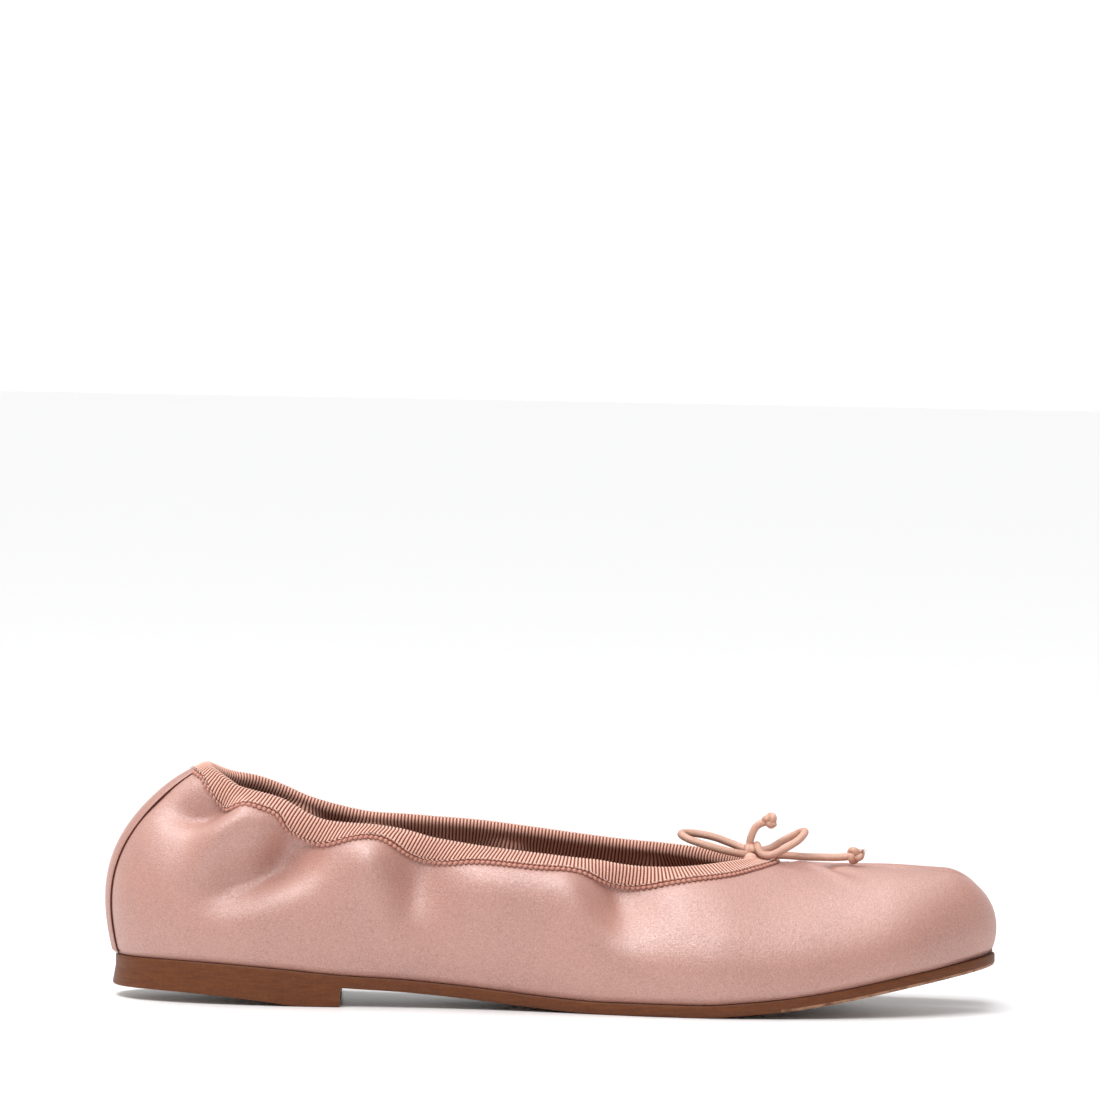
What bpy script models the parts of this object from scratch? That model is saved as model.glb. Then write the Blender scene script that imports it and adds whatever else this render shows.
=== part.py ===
"""Split-toe ballet flat, the right shoe, standing on its sole.

+X points to the toe, -Y to the outer side of the foot, +Z up, and the floor is z = 0.
All tables and sizes are in millimetres; MM turns them into metres where a mesh is made.
"""

import bpy
import bmesh
import numpy as np
from mathutils import Vector
from mathutils.bvhtree import BVHTree

MM = 0.001

# Driving sizes.
WALL = 1.6            # satin, interlining and lining of the upper
GAP = 0.3             # clearance between two pieces that meet
SOLE_THICK = 3.4      # leather outsole
INSOLE_THICK = 1.5    # sock with its board
INSOLE_INSET = 2.2    # insole edge, in from the last's edge
RIBBON = 0.7          # one leg of the doubled collar ribbon
RIBBON_GAP = 0.45     # clearance between the ribbon and the satin it straddles
LINING_GAP = 0.6      # clearance between the ribbon and the lining
RIBBON_OUT = 7.2      # leg of the ribbon down the outside
HEEL_OUT = 5.0        # the same leg at the back of the heel, where the ribbon is gathered
HEEL_ROWS = 3.0       # rows of COLLAR over which the leg grows from one to the other
RIBBON_IN = 6.4       # leg of the ribbon down the lining
FOLD_RISE = 0.5       # the fold's rounded shoulders stand this far above and to the side of
FOLD_SIDE = 0.35      # the ribbon's inner faces
STRIP_THICK = 1.0
STRIP_END = 0.8       # clearance between the end of the back strip and the ribbon
CORD = 2.1            # diameter of the bow's cord
PLATE_BACK = -119.2   # back end of the outsole and of the heel block
TOE_END = 200.0       # any place ahead of the toes: the plate runs to the lobes' tips
HEEL_BREAST = -57.0   # front face of the heel block
HEEL_SPREAD = 1.013   # the heel block's underside is this much longer and wider than its top
SHIFT = (0.45, 1.53)  # moves the last so that the shoe's box is centred, along x and y

# The last's edge, where upper and sole meet, seen from above. It runs from the back of the
# heel along the outer side, round the outer toe lobe, into the cleft and back along the
# inner side. flare: lean of the wall at its foot, in degrees outwards. rise, over: how full
# the wall is low down and up at its top.
LAST = (
    # x, y, flare, rise, over
    (-119.3, 0.0, 15, 0.41, 0.66),
    (-115.8, -11.5, 17, 0.40, 0.60),
    (-106.0, -19.8, 18, 0.39, 0.53),
    (-92.0, -24.6, 18, 0.38, 0.46),
    (-77.0, -26.6, 18, 0.38, 0.45),
    (-60.0, -26.8, 19, 0.38, 0.45),
    (-42.0, -26.1, 20, 0.40, 0.45),
    (-22.0, -26.9, 21, 0.42, 0.45),
    (-3.0, -30.0, 22, 0.44, 0.46),
    (16.0, -35.0, 23, 0.46, 0.48),
    (33.0, -38.6, 24, 0.48, 0.50),
    (47.0, -39.7, 24, 0.50, 0.52),
    (58.0, -39.0, 24, 0.50, 0.55),
    (70.0, -37.0, 24, 0.50, 0.56),
    (82.0, -33.6, 24, 0.50, 0.57),
    (94.0, -28.9, 24, 0.50, 0.58),
    (105.0, -22.5, 24, 0.48, 0.60),
    (114.0, -14.5, 24, 0.46, 0.62),
    (119.3, -7.0, 24, 0.46, 0.63),
    (120.6, 0.0, 20, 0.50, 0.63),
    (116.8, 5.0, 10, 0.66, 0.66),
    (106.0, 6.6, 4, 0.90, 0.84),
    (92.0, 6.8, 3, 0.92, 0.88),
    (84.5, 6.9, 2, 0.92, 0.86),
    (82.6, 8.2, 0, 0.92, 0.84),
    (84.5, 9.5, 2, 0.92, 0.86),
    (92.0, 9.9, 3, 0.92, 0.88),
    (106.0, 10.4, 4, 0.90, 0.84),
    (117.0, 13.0, 12, 0.64, 0.66),
    (121.4, 19.5, 22, 0.48, 0.63),
    (119.0, 26.0, 24, 0.46, 0.62),
    (110.0, 31.8, 24, 0.48, 0.60),
    (98.0, 34.9, 24, 0.50, 0.58),
    (85.0, 36.6, 24, 0.50, 0.57),
    (71.0, 37.0, 24, 0.50, 0.56),
    (58.0, 36.0, 23, 0.50, 0.55),
    (46.0, 33.8, 22, 0.50, 0.52),
    (32.0, 30.3, 21, 0.48, 0.50),
    (16.0, 26.0, 20, 0.46, 0.48),
    (-2.0, 21.7, 20, 0.44, 0.46),
    (-22.0, 19.3, 20, 0.42, 0.45),
    (-42.0, 20.0, 20, 0.40, 0.45),
    (-60.0, 22.4, 19, 0.38, 0.45),
    (-77.0, 24.4, 18, 0.38, 0.45),
    (-92.0, 24.0, 18, 0.38, 0.46),
    (-106.0, 19.6, 18, 0.39, 0.53),
    (-115.8, 11.5, 17, 0.40, 0.60),
)

# The upper's edge in the collar ribbon, in step with the rows above: heel, outer side,
# throat, inner side. lean: slope of the wall where it reaches the edge, in degrees.
COLLAR = (
    # x, y, z, lean
    (-95.5, 0.0, 63.4, 30),
    (-94.2, -7.0, 63.0, 38),
    (-90.0, -12.8, 60.2, 53),
    (-83.5, -16.5, 56.9, 62),
    (-75.5, -19.0, 54.9, 66),
    (-65.0, -20.8, 50.2, 68),
    (-49.0, -22.2, 48.2, 68),
    (-27.0, -23.0, 44.2, 66),
    (-6.0, -23.6, 41.7, 62),
    (15.0, -23.0, 39.5, 55),
    (33.0, -19.6, 38.1, 42),
    (47.5, -12.5, 39.0, 25),
    (56.0, 1.5, 39.8, 8),
    (48.5, 13.3, 39.9, 25),
    (34.0, 19.2, 41.6, 40),
    (16.0, 20.5, 43.2, 52),
    (-4.0, 19.6, 45.6, 60),
    (-26.0, 18.5, 47.9, 65),
    (-48.0, 18.8, 49.1, 68),
    (-64.0, 19.2, 52.0, 68),
    (-76.0, 18.2, 56.5, 66),
    (-84.5, 15.8, 59.2, 62),
    (-90.5, 12.4, 60.8, 53),
    (-94.2, 7.2, 62.7, 38),
)
THROAT = 12           # the row at the throat's centre, in both tables on the outer side
CROWDING = 0.4        # how much closer the sections stand at the heel and the throat
THROAT_ROWS = 4.0     # over this many rows the wall's sections turn to cross the vamp

# Top lines of the vamp: from the throat to the end of the cleft, then one on each toe lobe.
SPINE = ((56.0, 1.5, 39.8), (62.0, 3.0, 39.1), (69.0, 4.8, 38.9), (77.0, 6.8, 38.8))
RIDGE_OUTER = (
    (77.0, 6.8, 38.8), (81.5, 2.8, 38.7), (88.0, -2.2, 38.4), (97.0, -5.4, 38.2), (108.0, -6.5, 37.4),
)
RIDGE_INNER = (
    (77.0, 6.8, 38.8), (81.0, 10.6, 38.6), (87.0, 15.2, 38.2), (96.0, 18.2, 38.0), (108.5, 19.5, 37.2),
)

# Strips of wall between two rows of LAST, and the top line that each climbs to.
PANELS = (
    # first row, last row, top line, from, to, sections
    (0.0, 12.0, "collar", 0, 12, 28),
    (12.0, 13.6, "spine", 0, 1, 4),
    (13.6, 16.3, "outer", 0, 1, 7),
    (16.3, 20.2, "outer", 1, 1, 7),
    (20.2, 23.3, "outer", 1, 0, 7),
    (23.3, 24.7, "spine", 1, 1, 4),
    (24.7, 27.8, "inner", 0, 1, 7),
    (27.8, 31.1, "inner", 1, 1, 7),
    (31.1, 33.5, "inner", 1, 0, 7),
    (33.5, 35.0, "spine", 1, 0, 4),
    (35.0, 47.0, "collar", 12, 24, 28),
)
ROWS_UP = 9           # facets from the sole to the top
LEG_FACETS = 3        # facets down each leg of the ribbon
STRIP_ROWS = 0.56     # rows of LAST from the back seam to the strip's edge
STRIP_FROM = 0.01     # the strip's lower end on the wall, 0 at the sole and 1 at the collar

# The plates of the sole are cut along these rows of LAST: each span holds a toe lobe's tip or
# the end of the cleft.
OUTER_TIP_ROWS = (18.0, 20.5)
CLEFT_END_ROWS = (22.0, 26.0)
INNER_TIP_ROWS = (28.0, 30.5)
EDGE_STEP = 0.1       # spacing of the outline's points, in rows
BODY_STATIONS = 26    # cross rows of a plate from the heel to the cleft
HEEL_STATIONS = 16    # cross rows of the heel block
LOBE_STATIONS = 14    # cross rows of one toe lobe
SIDE_COLUMNS = 3      # columns on each side of a plate's middle column
CLEFT_WIDTH_AT = 2.5  # the middle column is as wide as the cleft this far past its end
NARROW_UNDER = 30.0   # where a plate is narrower than this, its middle column narrows too
TIP_SHORT = 0.05      # a lobe's last cross row stands this far short of its tip

# Underside of the outsole from heel to toe, and of the heel block.
SOLE_LINE = (
    # x, z of the underside
    (-125.0, 8.1), (-107.0, 8.2), (-91.0, 7.7), (-75.0, 6.7), (-57.0, 5.2), (-40.0, 4.3),
    (-24.0, 3.0), (-10.0, 1.6), (3.0, 0.5), (14.0, 0.0), (27.0, 0.0), (40.0, 0.0),
    (52.0, 0.8), (66.0, 2.3), (80.0, 4.6), (94.0, 7.4), (108.0, 10.1), (125.0, 13.4),
)
HEEL_LINE = (
    (-125.0, 3.1), (-112.0, 3.2), (-100.0, 2.9), (-88.0, 2.1), (-76.0, 0.9), (-68.0, 0.0),
    (-62.0, 0.0), (-50.0, 0.0),
)

# Centre lines of the bow's cord, from the knot's side: x, y, z.
BOW_LOOP_BACK = (
    (51.6, -1.7, 42.6), (49.0, -3.4, 42.6), (44.4, -5.2, 43.1), (39.1, -5.0, 44.2),
    (35.9, -3.0, 45.3), (34.9, 0.4, 46.1), (36.6, 3.7, 46.8), (40.9, 5.0, 46.4),
    (46.1, 4.4, 45.2), (49.6, 3.0, 44.2), (51.8, 1.7, 43.6),
)
BOW_LOOP_FRONT = (
    (58.0, -1.7, 42.5), (61.5, -3.6, 43.0), (65.2, -4.0, 44.4), (68.3, -2.4, 46.4), (69.6, 0.6, 47.4),
    (68.4, 3.5, 47.5), (65.3, 4.5, 46.6), (61.8, 3.8, 44.8), (58.2, 2.0, 43.4),
)
BOW_END_UP = (
    (53.9, 0.0, 45.2), (54.2, 0.0, 46.6), (54.8, 0.0, 48.3), (55.9, 0.0, 49.8), (57.2, 0.0, 50.5),
)
BOW_END_FRONT = (
    (58.2, 0.3, 41.9), (62.4, 1.4, 41.7), (67.3, 2.2, 41.5), (74.2, 2.5, 41.3), (80.3, 2.2, 41.5),
)
# Knots as x, y, z of the middle and half sizes along x, y, z.
BOW_KNOT = (54.9, 0.0, 42.9, 3.0, 3.1, 1.7)
BOW_TIP_UP = (59.3, 0.0, 50.9, 1.8, 1.8, 1.9)
BOW_TIP_FRONT = (83.0, 2.1, 41.9, 2.4, 2.2, 2.2)

SATIN = (0.60, 0.33, 0.28)
RIBBON_PINK = (0.50, 0.25, 0.18)
SOLE_TAN = (0.20, 0.075, 0.032)
LINING_BROWN = (0.30, 0.13, 0.07)
CORD_PINK = (0.66, 0.40, 0.29)


def fit_closed(rows):
    """Rows, spacing in plan and bend of the smooth closed curve through the rows."""
    rows = np.array(rows, float)
    count = len(rows)
    step = np.linalg.norm((np.roll(rows, -1, 0) - rows)[:, :2], axis=1)
    matrix = np.zeros((count, count))
    right = np.zeros_like(rows)
    for i in range(count):
        before, after = (i - 1) % count, (i + 1) % count
        matrix[i, before] += step[before]
        matrix[i, i] += 2 * (step[before] + step[i])
        matrix[i, after] += step[i]
        right[i] = 6 * ((rows[after] - rows[i]) / step[i] - (rows[i] - rows[before]) / step[before])
    return rows, step, np.linalg.solve(matrix, right)


def closed_spline(fit, at):
    """The fitted closed curve, read at row numbers that may be fractions."""
    rows, step, bend = fit
    i = int(np.floor(at)) % len(rows)
    j = (i + 1) % len(rows)
    b = at - np.floor(at)
    a = 1 - b
    cubic = (a ** 3 - a) * bend[i] + (b ** 3 - b) * bend[j]
    return a * rows[i] + b * rows[j] + cubic * step[i] ** 2 / 6


LAST_FIT = fit_closed(LAST)
COLLAR_FIT = fit_closed(COLLAR)


def open_spline(rows, share):
    """Smooth open curve through the rows, read at a share, 0 to 1, of the way along them."""
    rows = np.array(rows, float)
    place = share * (len(rows) - 1)
    i = min(int(place), len(rows) - 2)
    f = place - i
    padded = np.vstack([2 * rows[0] - rows[1], rows, 2 * rows[-1] - rows[-2]])
    p0, p1, p2, p3 = padded[i:i + 4]
    return 0.5 * (2 * p1 + (p2 - p0) * f + (2 * p0 - 5 * p1 + 4 * p2 - p3) * f ** 2
                  + (3 * p1 - p0 - 3 * p2 + p3) * f ** 3)


def line_height(line, x):
    """Height of a line of (x, z) rows at x, smooth, and exactly flat where the rows are flat."""
    rows = np.array(line, float)
    xs, zs = rows[:, 0], rows[:, 1]
    chord = np.diff(zs) / np.diff(xs)
    slope = np.concatenate([[chord[0]], (chord[1:] + chord[:-1]) / 2, [chord[-1]]])
    flat = np.isclose(chord, 0)
    slope[:-1][flat] = 0
    slope[1:][flat] = 0
    i = int(np.clip(np.searchsorted(xs, x) - 1, 0, len(xs) - 2))
    width = xs[i + 1] - xs[i]
    f = (x - xs[i]) / width
    return (zs[i] * (1 + 2 * f) * (1 - f) ** 2 + zs[i + 1] * (3 - 2 * f) * f ** 2
            + width * (slope[i] * f * (1 - f) ** 2 - slope[i + 1] * f ** 2 * (1 - f)))


def sole_top(x):
    return line_height(SOLE_LINE, x) + SOLE_THICK


def last_edge(row, inset=0.0):
    """Point of the last's edge in plan, moved in by inset, with its outward direction."""
    here = closed_spline(LAST_FIT, row)[:2]
    ahead = closed_spline(LAST_FIT, row + 0.02)[:2] - closed_spline(LAST_FIT, row - 0.02)[:2]
    out = np.array([ahead[1], -ahead[0]]) / np.linalg.norm(ahead)
    return here - out * inset, out


def top_line(name, share):
    """Point of a top line and the slope at which the wall arrives there."""
    if name == "collar":
        row = closed_spline(COLLAR_FIT, share)
        return row[:3], np.radians(row[3])
    rows = {"spine": SPINE, "outer": RIDGE_OUTER, "inner": RIDGE_INNER}[name]
    start = np.radians(COLLAR[THROAT][3])
    lean = start * (1 - share) if name == "spine" else 0.0
    return open_spline(rows, share), lean


def collar_inward(share):
    """Direction in plan from the collar's edge towards the opening."""
    along = closed_spline(COLLAR_FIT, share + 0.05) - closed_spline(COLLAR_FIT, share - 0.05)
    return np.array([-along[1], along[0]]) / np.hypot(along[0], along[1])


def leg_outside(share):
    """Length of the ribbon's outer leg at a place on the collar."""
    rows = len(COLLAR)
    f = np.clip(min(share % rows, -share % rows) / HEEL_ROWS, 0, 1)
    return HEEL_OUT + (RIBBON_OUT - HEEL_OUT) * f * f * (3 - 2 * f)


def throat_share(share):
    """0 along the sides of the collar, rising to 1 at the throat's centre."""
    f = np.clip(1 - abs(share - THROAT) / THROAT_ROWS, 0, 1)
    return f * f * (3 - 2 * f)


def sections():
    """Each section of the wall as its row of LAST, its top line and the place on it."""
    found = []
    for first, last, name, start, end, count in PANELS:
        for k in range(count):
            f = k / count
            if name == "collar":
                f -= CROWDING * np.sin(2 * np.pi * f) / (2 * np.pi)
            found.append((first + (last - first) * f, name, start + (end - start) * f))
    return found


def wall_curve(section):
    """The four control points of one section of the upper's outer face."""
    row, name, share = section
    foot, out = last_edge(row)
    flare, rise, over = closed_spline(LAST_FIT, row)[2:]
    low = np.array([foot[0], foot[1], sole_top(foot[0]) + GAP])
    high, lean = top_line(name, share)
    across = high[:2] - low[:2]
    reach = np.linalg.norm(across)
    across = across / reach
    if name == "collar":
        inward, near_throat = collar_inward(share), throat_share(share)
        across = inward * (1 - near_throat) + across * near_throat
        across = across / np.linalg.norm(across)
        reach = max(np.dot(high[:2] - low[:2], across), 0.0)
    height = high[2] - low[2]
    flare = np.radians(flare)
    leave = np.array([out[0] * np.sin(flare), out[1] * np.sin(flare), np.cos(flare)])
    arrive = np.array([across[0] * np.cos(lean), across[1] * np.cos(lean), np.sin(lean)])
    along = reach * np.cos(lean) + height * np.sin(lean)
    return low, low + leave * rise * height, high - arrive * over * along, high


def wall_point(curve, v):
    """Point at v, from 0 at the sole to 1 at the top, on one section."""
    a, b, c, d = curve
    u = 1 - v
    return a * u ** 3 + b * 3 * u * u * v + c * 3 * u * v * v + d * v ** 3


def level_below_edge(section, distance):
    """Level of the wall's point that stands a distance below the upper's edge."""
    curve = wall_curve(section)
    levels = np.linspace(0.5, 1, 500)
    away = [np.linalg.norm(wall_point(curve, v) - curve[3]) for v in levels]
    return levels[int(np.argmin(np.abs(np.array(away) - distance)))]


def wall_grid(chosen, levels):
    """Points of the upper's outer face, one row of levels for each chosen section."""
    return np.array([[wall_point(wall_curve(s), v) for v in levels] for s in chosen])


def wall_normals(chosen, levels):
    """Outward directions at the same points, from small steps along and up the wall."""
    step = 0.03
    found = []
    for row, name, share in chosen:
        before = wall_curve((row - step, name, share - step))
        after = wall_curve((row + step, name, share + step))
        middle = wall_curve((row, name, share))
        column = []
        for v in levels:
            low, high = max(v - 0.02, 0), min(v + 0.02, 1)
            along = wall_point(after, v) - wall_point(before, v)
            up = wall_point(middle, high) - wall_point(middle, low)
            normal = np.cross(along, up)
            column.append(normal / np.linalg.norm(normal))
        found.append(column)
    return np.array(found)


def material(name, colour, roughness):
    made = bpy.data.materials.new(name)
    made.use_nodes = True
    shader = made.node_tree.nodes["Principled BSDF"]
    shader.inputs["Base Color"].default_value = (*colour, 1.0)
    shader.inputs["Roughness"].default_value = roughness
    shader.inputs["Metallic"].default_value = 0.0
    return made


def add_object(name, mesh, finish, smooth=True):
    made = bpy.data.objects.new(name, mesh)
    bpy.data.collections["ballet_flat"].objects.link(made)
    mesh.materials.append(finish)
    if smooth:
        mesh.shade_smooth()
        mesh.set_sharp_from_angle(angle=np.radians(40))
    return made


def placed(point):
    """A point of the last's tables, in metres, in the shoe's own frame."""
    return Vector((point[0] + SHIFT[0], point[1] + SHIFT[1], point[2])) * MM


def mesh_from(name, points, faces, face_out=True):
    """Mesh of points in millimetres, with equal points joined."""
    mesh = bpy.data.meshes.new(name)
    mesh.from_pydata([placed(p) for p in points], [], faces)
    work = bmesh.new()
    work.from_mesh(mesh)
    bmesh.ops.remove_doubles(work, verts=work.verts, dist=0.00001)
    if face_out:
        bmesh.ops.recalc_face_normals(work, faces=work.faces)
    work.to_mesh(mesh)
    work.free()
    return mesh


def grid_faces(rows, columns, closed):
    """Quads of a grid of rows by columns, whose rows join in a ring where closed is true."""
    faces = []
    for i in range(rows if closed else rows - 1):
        for j in range(columns - 1):
            k = (i + 1) % rows
            faces.append((i * columns + j, k * columns + j, k * columns + j + 1, i * columns + j + 1))
    return faces


def make_upper(finish):
    """Satin upper: one open surface over the last, thickened inwards."""
    chosen = sections()
    levels = np.linspace(0, 1, ROWS_UP + 1)
    points = wall_grid(chosen, levels).reshape(-1, 3)
    faces = grid_faces(len(chosen), ROWS_UP + 1, True)
    upper = add_object("upper", mesh_from("upper", points, faces, face_out=False), finish)
    shell = upper.modifiers.new("wall", "SOLIDIFY")
    shell.thickness = WALL * MM
    shell.offset = -1.0
    shell.use_even_offset = True
    return upper


def outline_branches(inset):
    """Outer side, outer cleft wall, inner cleft wall and inner side, each from heel to toe."""
    rows = np.arange(0, len(LAST), EDGE_STEP)
    points = np.array([last_edge(r, inset)[0] for r in rows])

    def farthest(span, towards):
        first, last = (int(round(row / EDGE_STEP)) for row in span)
        return first + int(np.argmax(towards * points[first:last, 0]))

    tip_outer = farthest(OUTER_TIP_ROWS, 1)
    root = farthest(CLEFT_END_ROWS, -1)
    tip_inner = farthest(INNER_TIP_ROWS, 1)
    back = np.vstack([points[tip_inner:], points[:1]])[::-1]
    return points[:tip_outer + 1], points[tip_outer:root + 1][::-1], points[root:tip_inner + 1], back


def side_at(branch, x):
    return np.interp(x, branch[:, 0], branch[:, 1])


def closer_at_start(start, end, count):
    """x places from start to end, closer together at the start."""
    return start + (end - start) * (1 - np.cos(np.linspace(0, np.pi / 2, count)))


def closer_at_end(start, end, count):
    """x places from start to end, closer together at the end."""
    return start + (end - start) * np.sin(np.linspace(0, np.pi / 2, count))


def columns_of(left, right):
    """Evenly spaced y values of the columns on one side of a plate, or of one toe lobe."""
    return list(np.linspace(left, right, SIDE_COLUMNS + 1))


def body_rows(branches, start, end, count):
    """Cross rows of a plate behind the cleft, as x and the y of each column."""
    outer, cleft_outer, cleft_inner, inner = branches
    root = cleft_outer[0, 0]
    near = side_at(cleft_outer, root + CLEFT_WIDTH_AT)
    far = side_at(cleft_inner, root + CLEFT_WIDTH_AT)
    rows = []
    for x in closer_at_start(start, min(root, end), count):
        left, right = side_at(outer, x), side_at(inner, x)
        centre = (left + right) / 2
        shift = (near + far) / 2 - centre if end > root else 0.0
        narrow = min((right - left) / NARROW_UNDER, 1.0)
        middle = centre + shift * narrow
        half = (far - near) / 2 * narrow
        rows.append((x, columns_of(left, middle - half) + columns_of(middle + half, right)))
    return rows


def lobe_rows(left_line, right_line, root, start_ys):
    """Cross rows of one toe lobe, from the cleft's end, where its columns are start_ys."""
    tip = min(left_line[-1, 0], right_line[-1, 0]) - TIP_SHORT
    rows = [(root, start_ys)]
    for x in closer_at_end(root, tip, LOBE_STATIONS)[1:]:
        rows.append((x, columns_of(side_at(left_line, x), side_at(right_line, x))))
    return rows


def slab(name, inset, low, high, start, end, count, finish, spread=1.0):
    """Plate with the last's outline between two heights, split along the cleft at the toe.

    low and high give the heights of its faces at x. spread scales its underside about the
    middle of its front. Past the cleft's end the plate goes on as two lobes.
    """
    branches = outline_branches(inset)
    outer, cleft_outer, cleft_inner, inner = branches
    root = cleft_outer[0, 0]
    points, faces = [], []

    def add_part(rows, close_start, close_end):
        """Top, underside and edges of one part; the closed ends are lists of columns."""
        base, width = len(points), len(rows[0][1])
        for x, ys in rows:
            points.extend((x, y, high(x)) for y in ys)
            points.extend((end + (x - end) * spread, y * spread, low(x)) for y in ys)
        for i in range(len(rows) - 1):
            a, b = base + i * 2 * width, base + (i + 1) * 2 * width
            for j in range(width - 1):
                faces.append((a + j, b + j, b + j + 1, a + j + 1))
                faces.append((a + width + j, a + width + j + 1, b + width + j + 1, b + width + j))
            for j in (0, width - 1):
                faces.append((a + j, b + j, b + width + j, a + width + j))
        for row, columns in ((0, close_start), (len(rows) - 1, close_end)):
            a = base + row * 2 * width
            for j in columns:
                faces.append((a + j, a + j + 1, a + width + j + 1, a + width + j))

    body = body_rows(branches, start, end, count)
    across = range(2 * SIDE_COLUMNS + 1)
    if end < root:
        add_part(body, across, across)
    else:
        add_part(body, across, [SIDE_COLUMNS])
        last_ys = body[-1][1]
        lobe = range(SIDE_COLUMNS)
        add_part(lobe_rows(outer, cleft_outer, root, last_ys[:SIDE_COLUMNS + 1]), [], lobe)
        add_part(lobe_rows(cleft_inner, inner, root, last_ys[SIDE_COLUMNS + 1:]), [], lobe)
    return add_object(name, mesh_from(name, points, faces), finish)


def collar_frame(share):
    """Point of the upper's edge, the direction along it and the way down the wall."""
    step = 0.05
    row = closed_spline(COLLAR_FIT, share)
    along = closed_spline(COLLAR_FIT, share + step)[:3] - closed_spline(COLLAR_FIT, share - step)[:3]
    along = along / np.linalg.norm(along)
    out = np.array([along[1], -along[0], 0.0])
    out = out / np.linalg.norm(out)
    lean = np.radians(row[3])
    down = out * np.cos(lean) - np.array([0, 0, 1]) * np.sin(lean)
    down = down - along * np.dot(down, along)
    return row[:3], along, down / np.linalg.norm(down)


def make_binding(finish):
    """Collar ribbon: a channel over the upper's edge, its legs on the satin and the lining."""
    chosen = sections()
    levels = np.linspace(0, 1, ROWS_UP + 1)
    surface = BVHTree.FromPolygons(
        [tuple(p) for p in wall_grid(chosen, levels).reshape(-1, 3)],
        grid_faces(len(chosen), ROWS_UP + 1, True))
    outer_face = RIBBON_GAP
    inner_face = -WALL - LINING_GAP
    shares = [share for _, name, share in chosen if name == "collar"]
    leg = list(np.linspace(0, 1, LEG_FACETS + 1))
    points = []
    for share in shares:
        edge, along, down = collar_frame(share)
        leg_length = leg_outside(share)
        below, _, _, _ = surface.find_nearest(Vector(edge + down * leg_length / LEG_FACETS))
        down = np.array(below) - edge
        down = down - along * np.dot(down, along)
        down = down / np.linalg.norm(down)
        normal = np.cross(along, -down)

        def on_wall(distance, height):
            """Point at a distance down the wall and a height off its outer face."""
            guess = edge + down * distance
            found, face_normal, _, _ = surface.find_nearest(Vector(guess))
            facing = np.array(face_normal)
            if distance == 0:
                return edge + normal * height
            facing = facing * np.sign(np.dot(facing, normal))
            return np.array(found) + facing * height

        def over_edge(rise, height):
            return edge - down * rise + normal * height

        for f in reversed(leg):
            points.append(on_wall(f * leg_length, outer_face))
        points.append(over_edge(RIBBON_GAP, outer_face))
        points.append(over_edge(RIBBON_GAP, inner_face))
        for f in leg:
            points.append(on_wall(f * RIBBON_IN, inner_face))
        for f in reversed(leg):
            points.append(on_wall(f * RIBBON_IN, inner_face - RIBBON))
        points.append(over_edge(RIBBON_GAP + FOLD_RISE, inner_face - FOLD_SIDE))
        points.append(over_edge(RIBBON_GAP + RIBBON, -WALL / 2))
        points.append(over_edge(RIBBON_GAP + FOLD_RISE, outer_face + FOLD_SIDE))
        for f in leg:
            points.append(on_wall(f * leg_length, outer_face + RIBBON))
    around = len(points) // len(shares)
    faces = []
    for i in range(len(shares)):
        k = (i + 1) % len(shares)
        for j in range(around):
            m = (j + 1) % around
            faces.append((i * around + j, k * around + j, k * around + m, i * around + m))
    return add_object("collar_ribbon", mesh_from("collar_ribbon", points, faces), finish)


def make_back_strip(finish):
    """Satin strip over the back seam, cut between two skins outside the upper."""
    columns = np.linspace(-STRIP_ROWS, STRIP_ROWS, 7)
    chosen = [(c, "collar", c) for c in columns]
    levels = np.linspace(STRIP_FROM, level_below_edge((0, "collar", 0), HEEL_OUT + STRIP_END), 12)
    skin = wall_grid(chosen, levels)
    normals = wall_normals(chosen, levels)
    inner = (skin + normals * GAP).reshape(-1, 3)
    mesh = mesh_from("back_strip", inner, grid_faces(len(chosen), len(levels), False), face_out=False)
    strip = add_object("back_strip", mesh, finish)
    shell = strip.modifiers.new("thickness", "SOLIDIFY")
    shell.thickness = STRIP_THICK * MM
    shell.offset = 1.0
    return strip


def make_cord(name, route, finish):
    """Round cord along a smooth curve through the route."""
    curve = bpy.data.curves.new(name, "CURVE")
    curve.dimensions = "3D"
    curve.bevel_depth = CORD / 2 * MM
    curve.bevel_resolution = 2
    curve.use_fill_caps = True
    count = 2 * len(route) + 1
    line = curve.splines.new("POLY")
    line.points.add(count - 1)
    for k in range(count):
        line.points[k].co = (*placed(open_spline(route, k / (count - 1))), 1.0)
    curve.materials.append(finish)
    cord = bpy.data.objects.new(name, curve)
    bpy.data.collections["ballet_flat"].objects.link(cord)
    return cord


def make_knot(name, size, finish):
    """Rounded knot of the cord."""
    bpy.ops.mesh.primitive_uv_sphere_add(segments=16, ring_count=8, radius=1.0)
    knot = bpy.context.object
    knot.name = name
    knot.data.transform(knot.matrix_world)
    middle = placed(size[:3])
    for vertex in knot.data.vertices:
        vertex.co = middle + Vector([vertex.co[i] * size[3 + i] * MM for i in range(3)])
    for owner in list(knot.users_collection):
        owner.objects.unlink(knot)
    bpy.data.collections["ballet_flat"].objects.link(knot)
    knot.data.materials.append(finish)
    knot.data.shade_smooth()
    return knot


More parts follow.
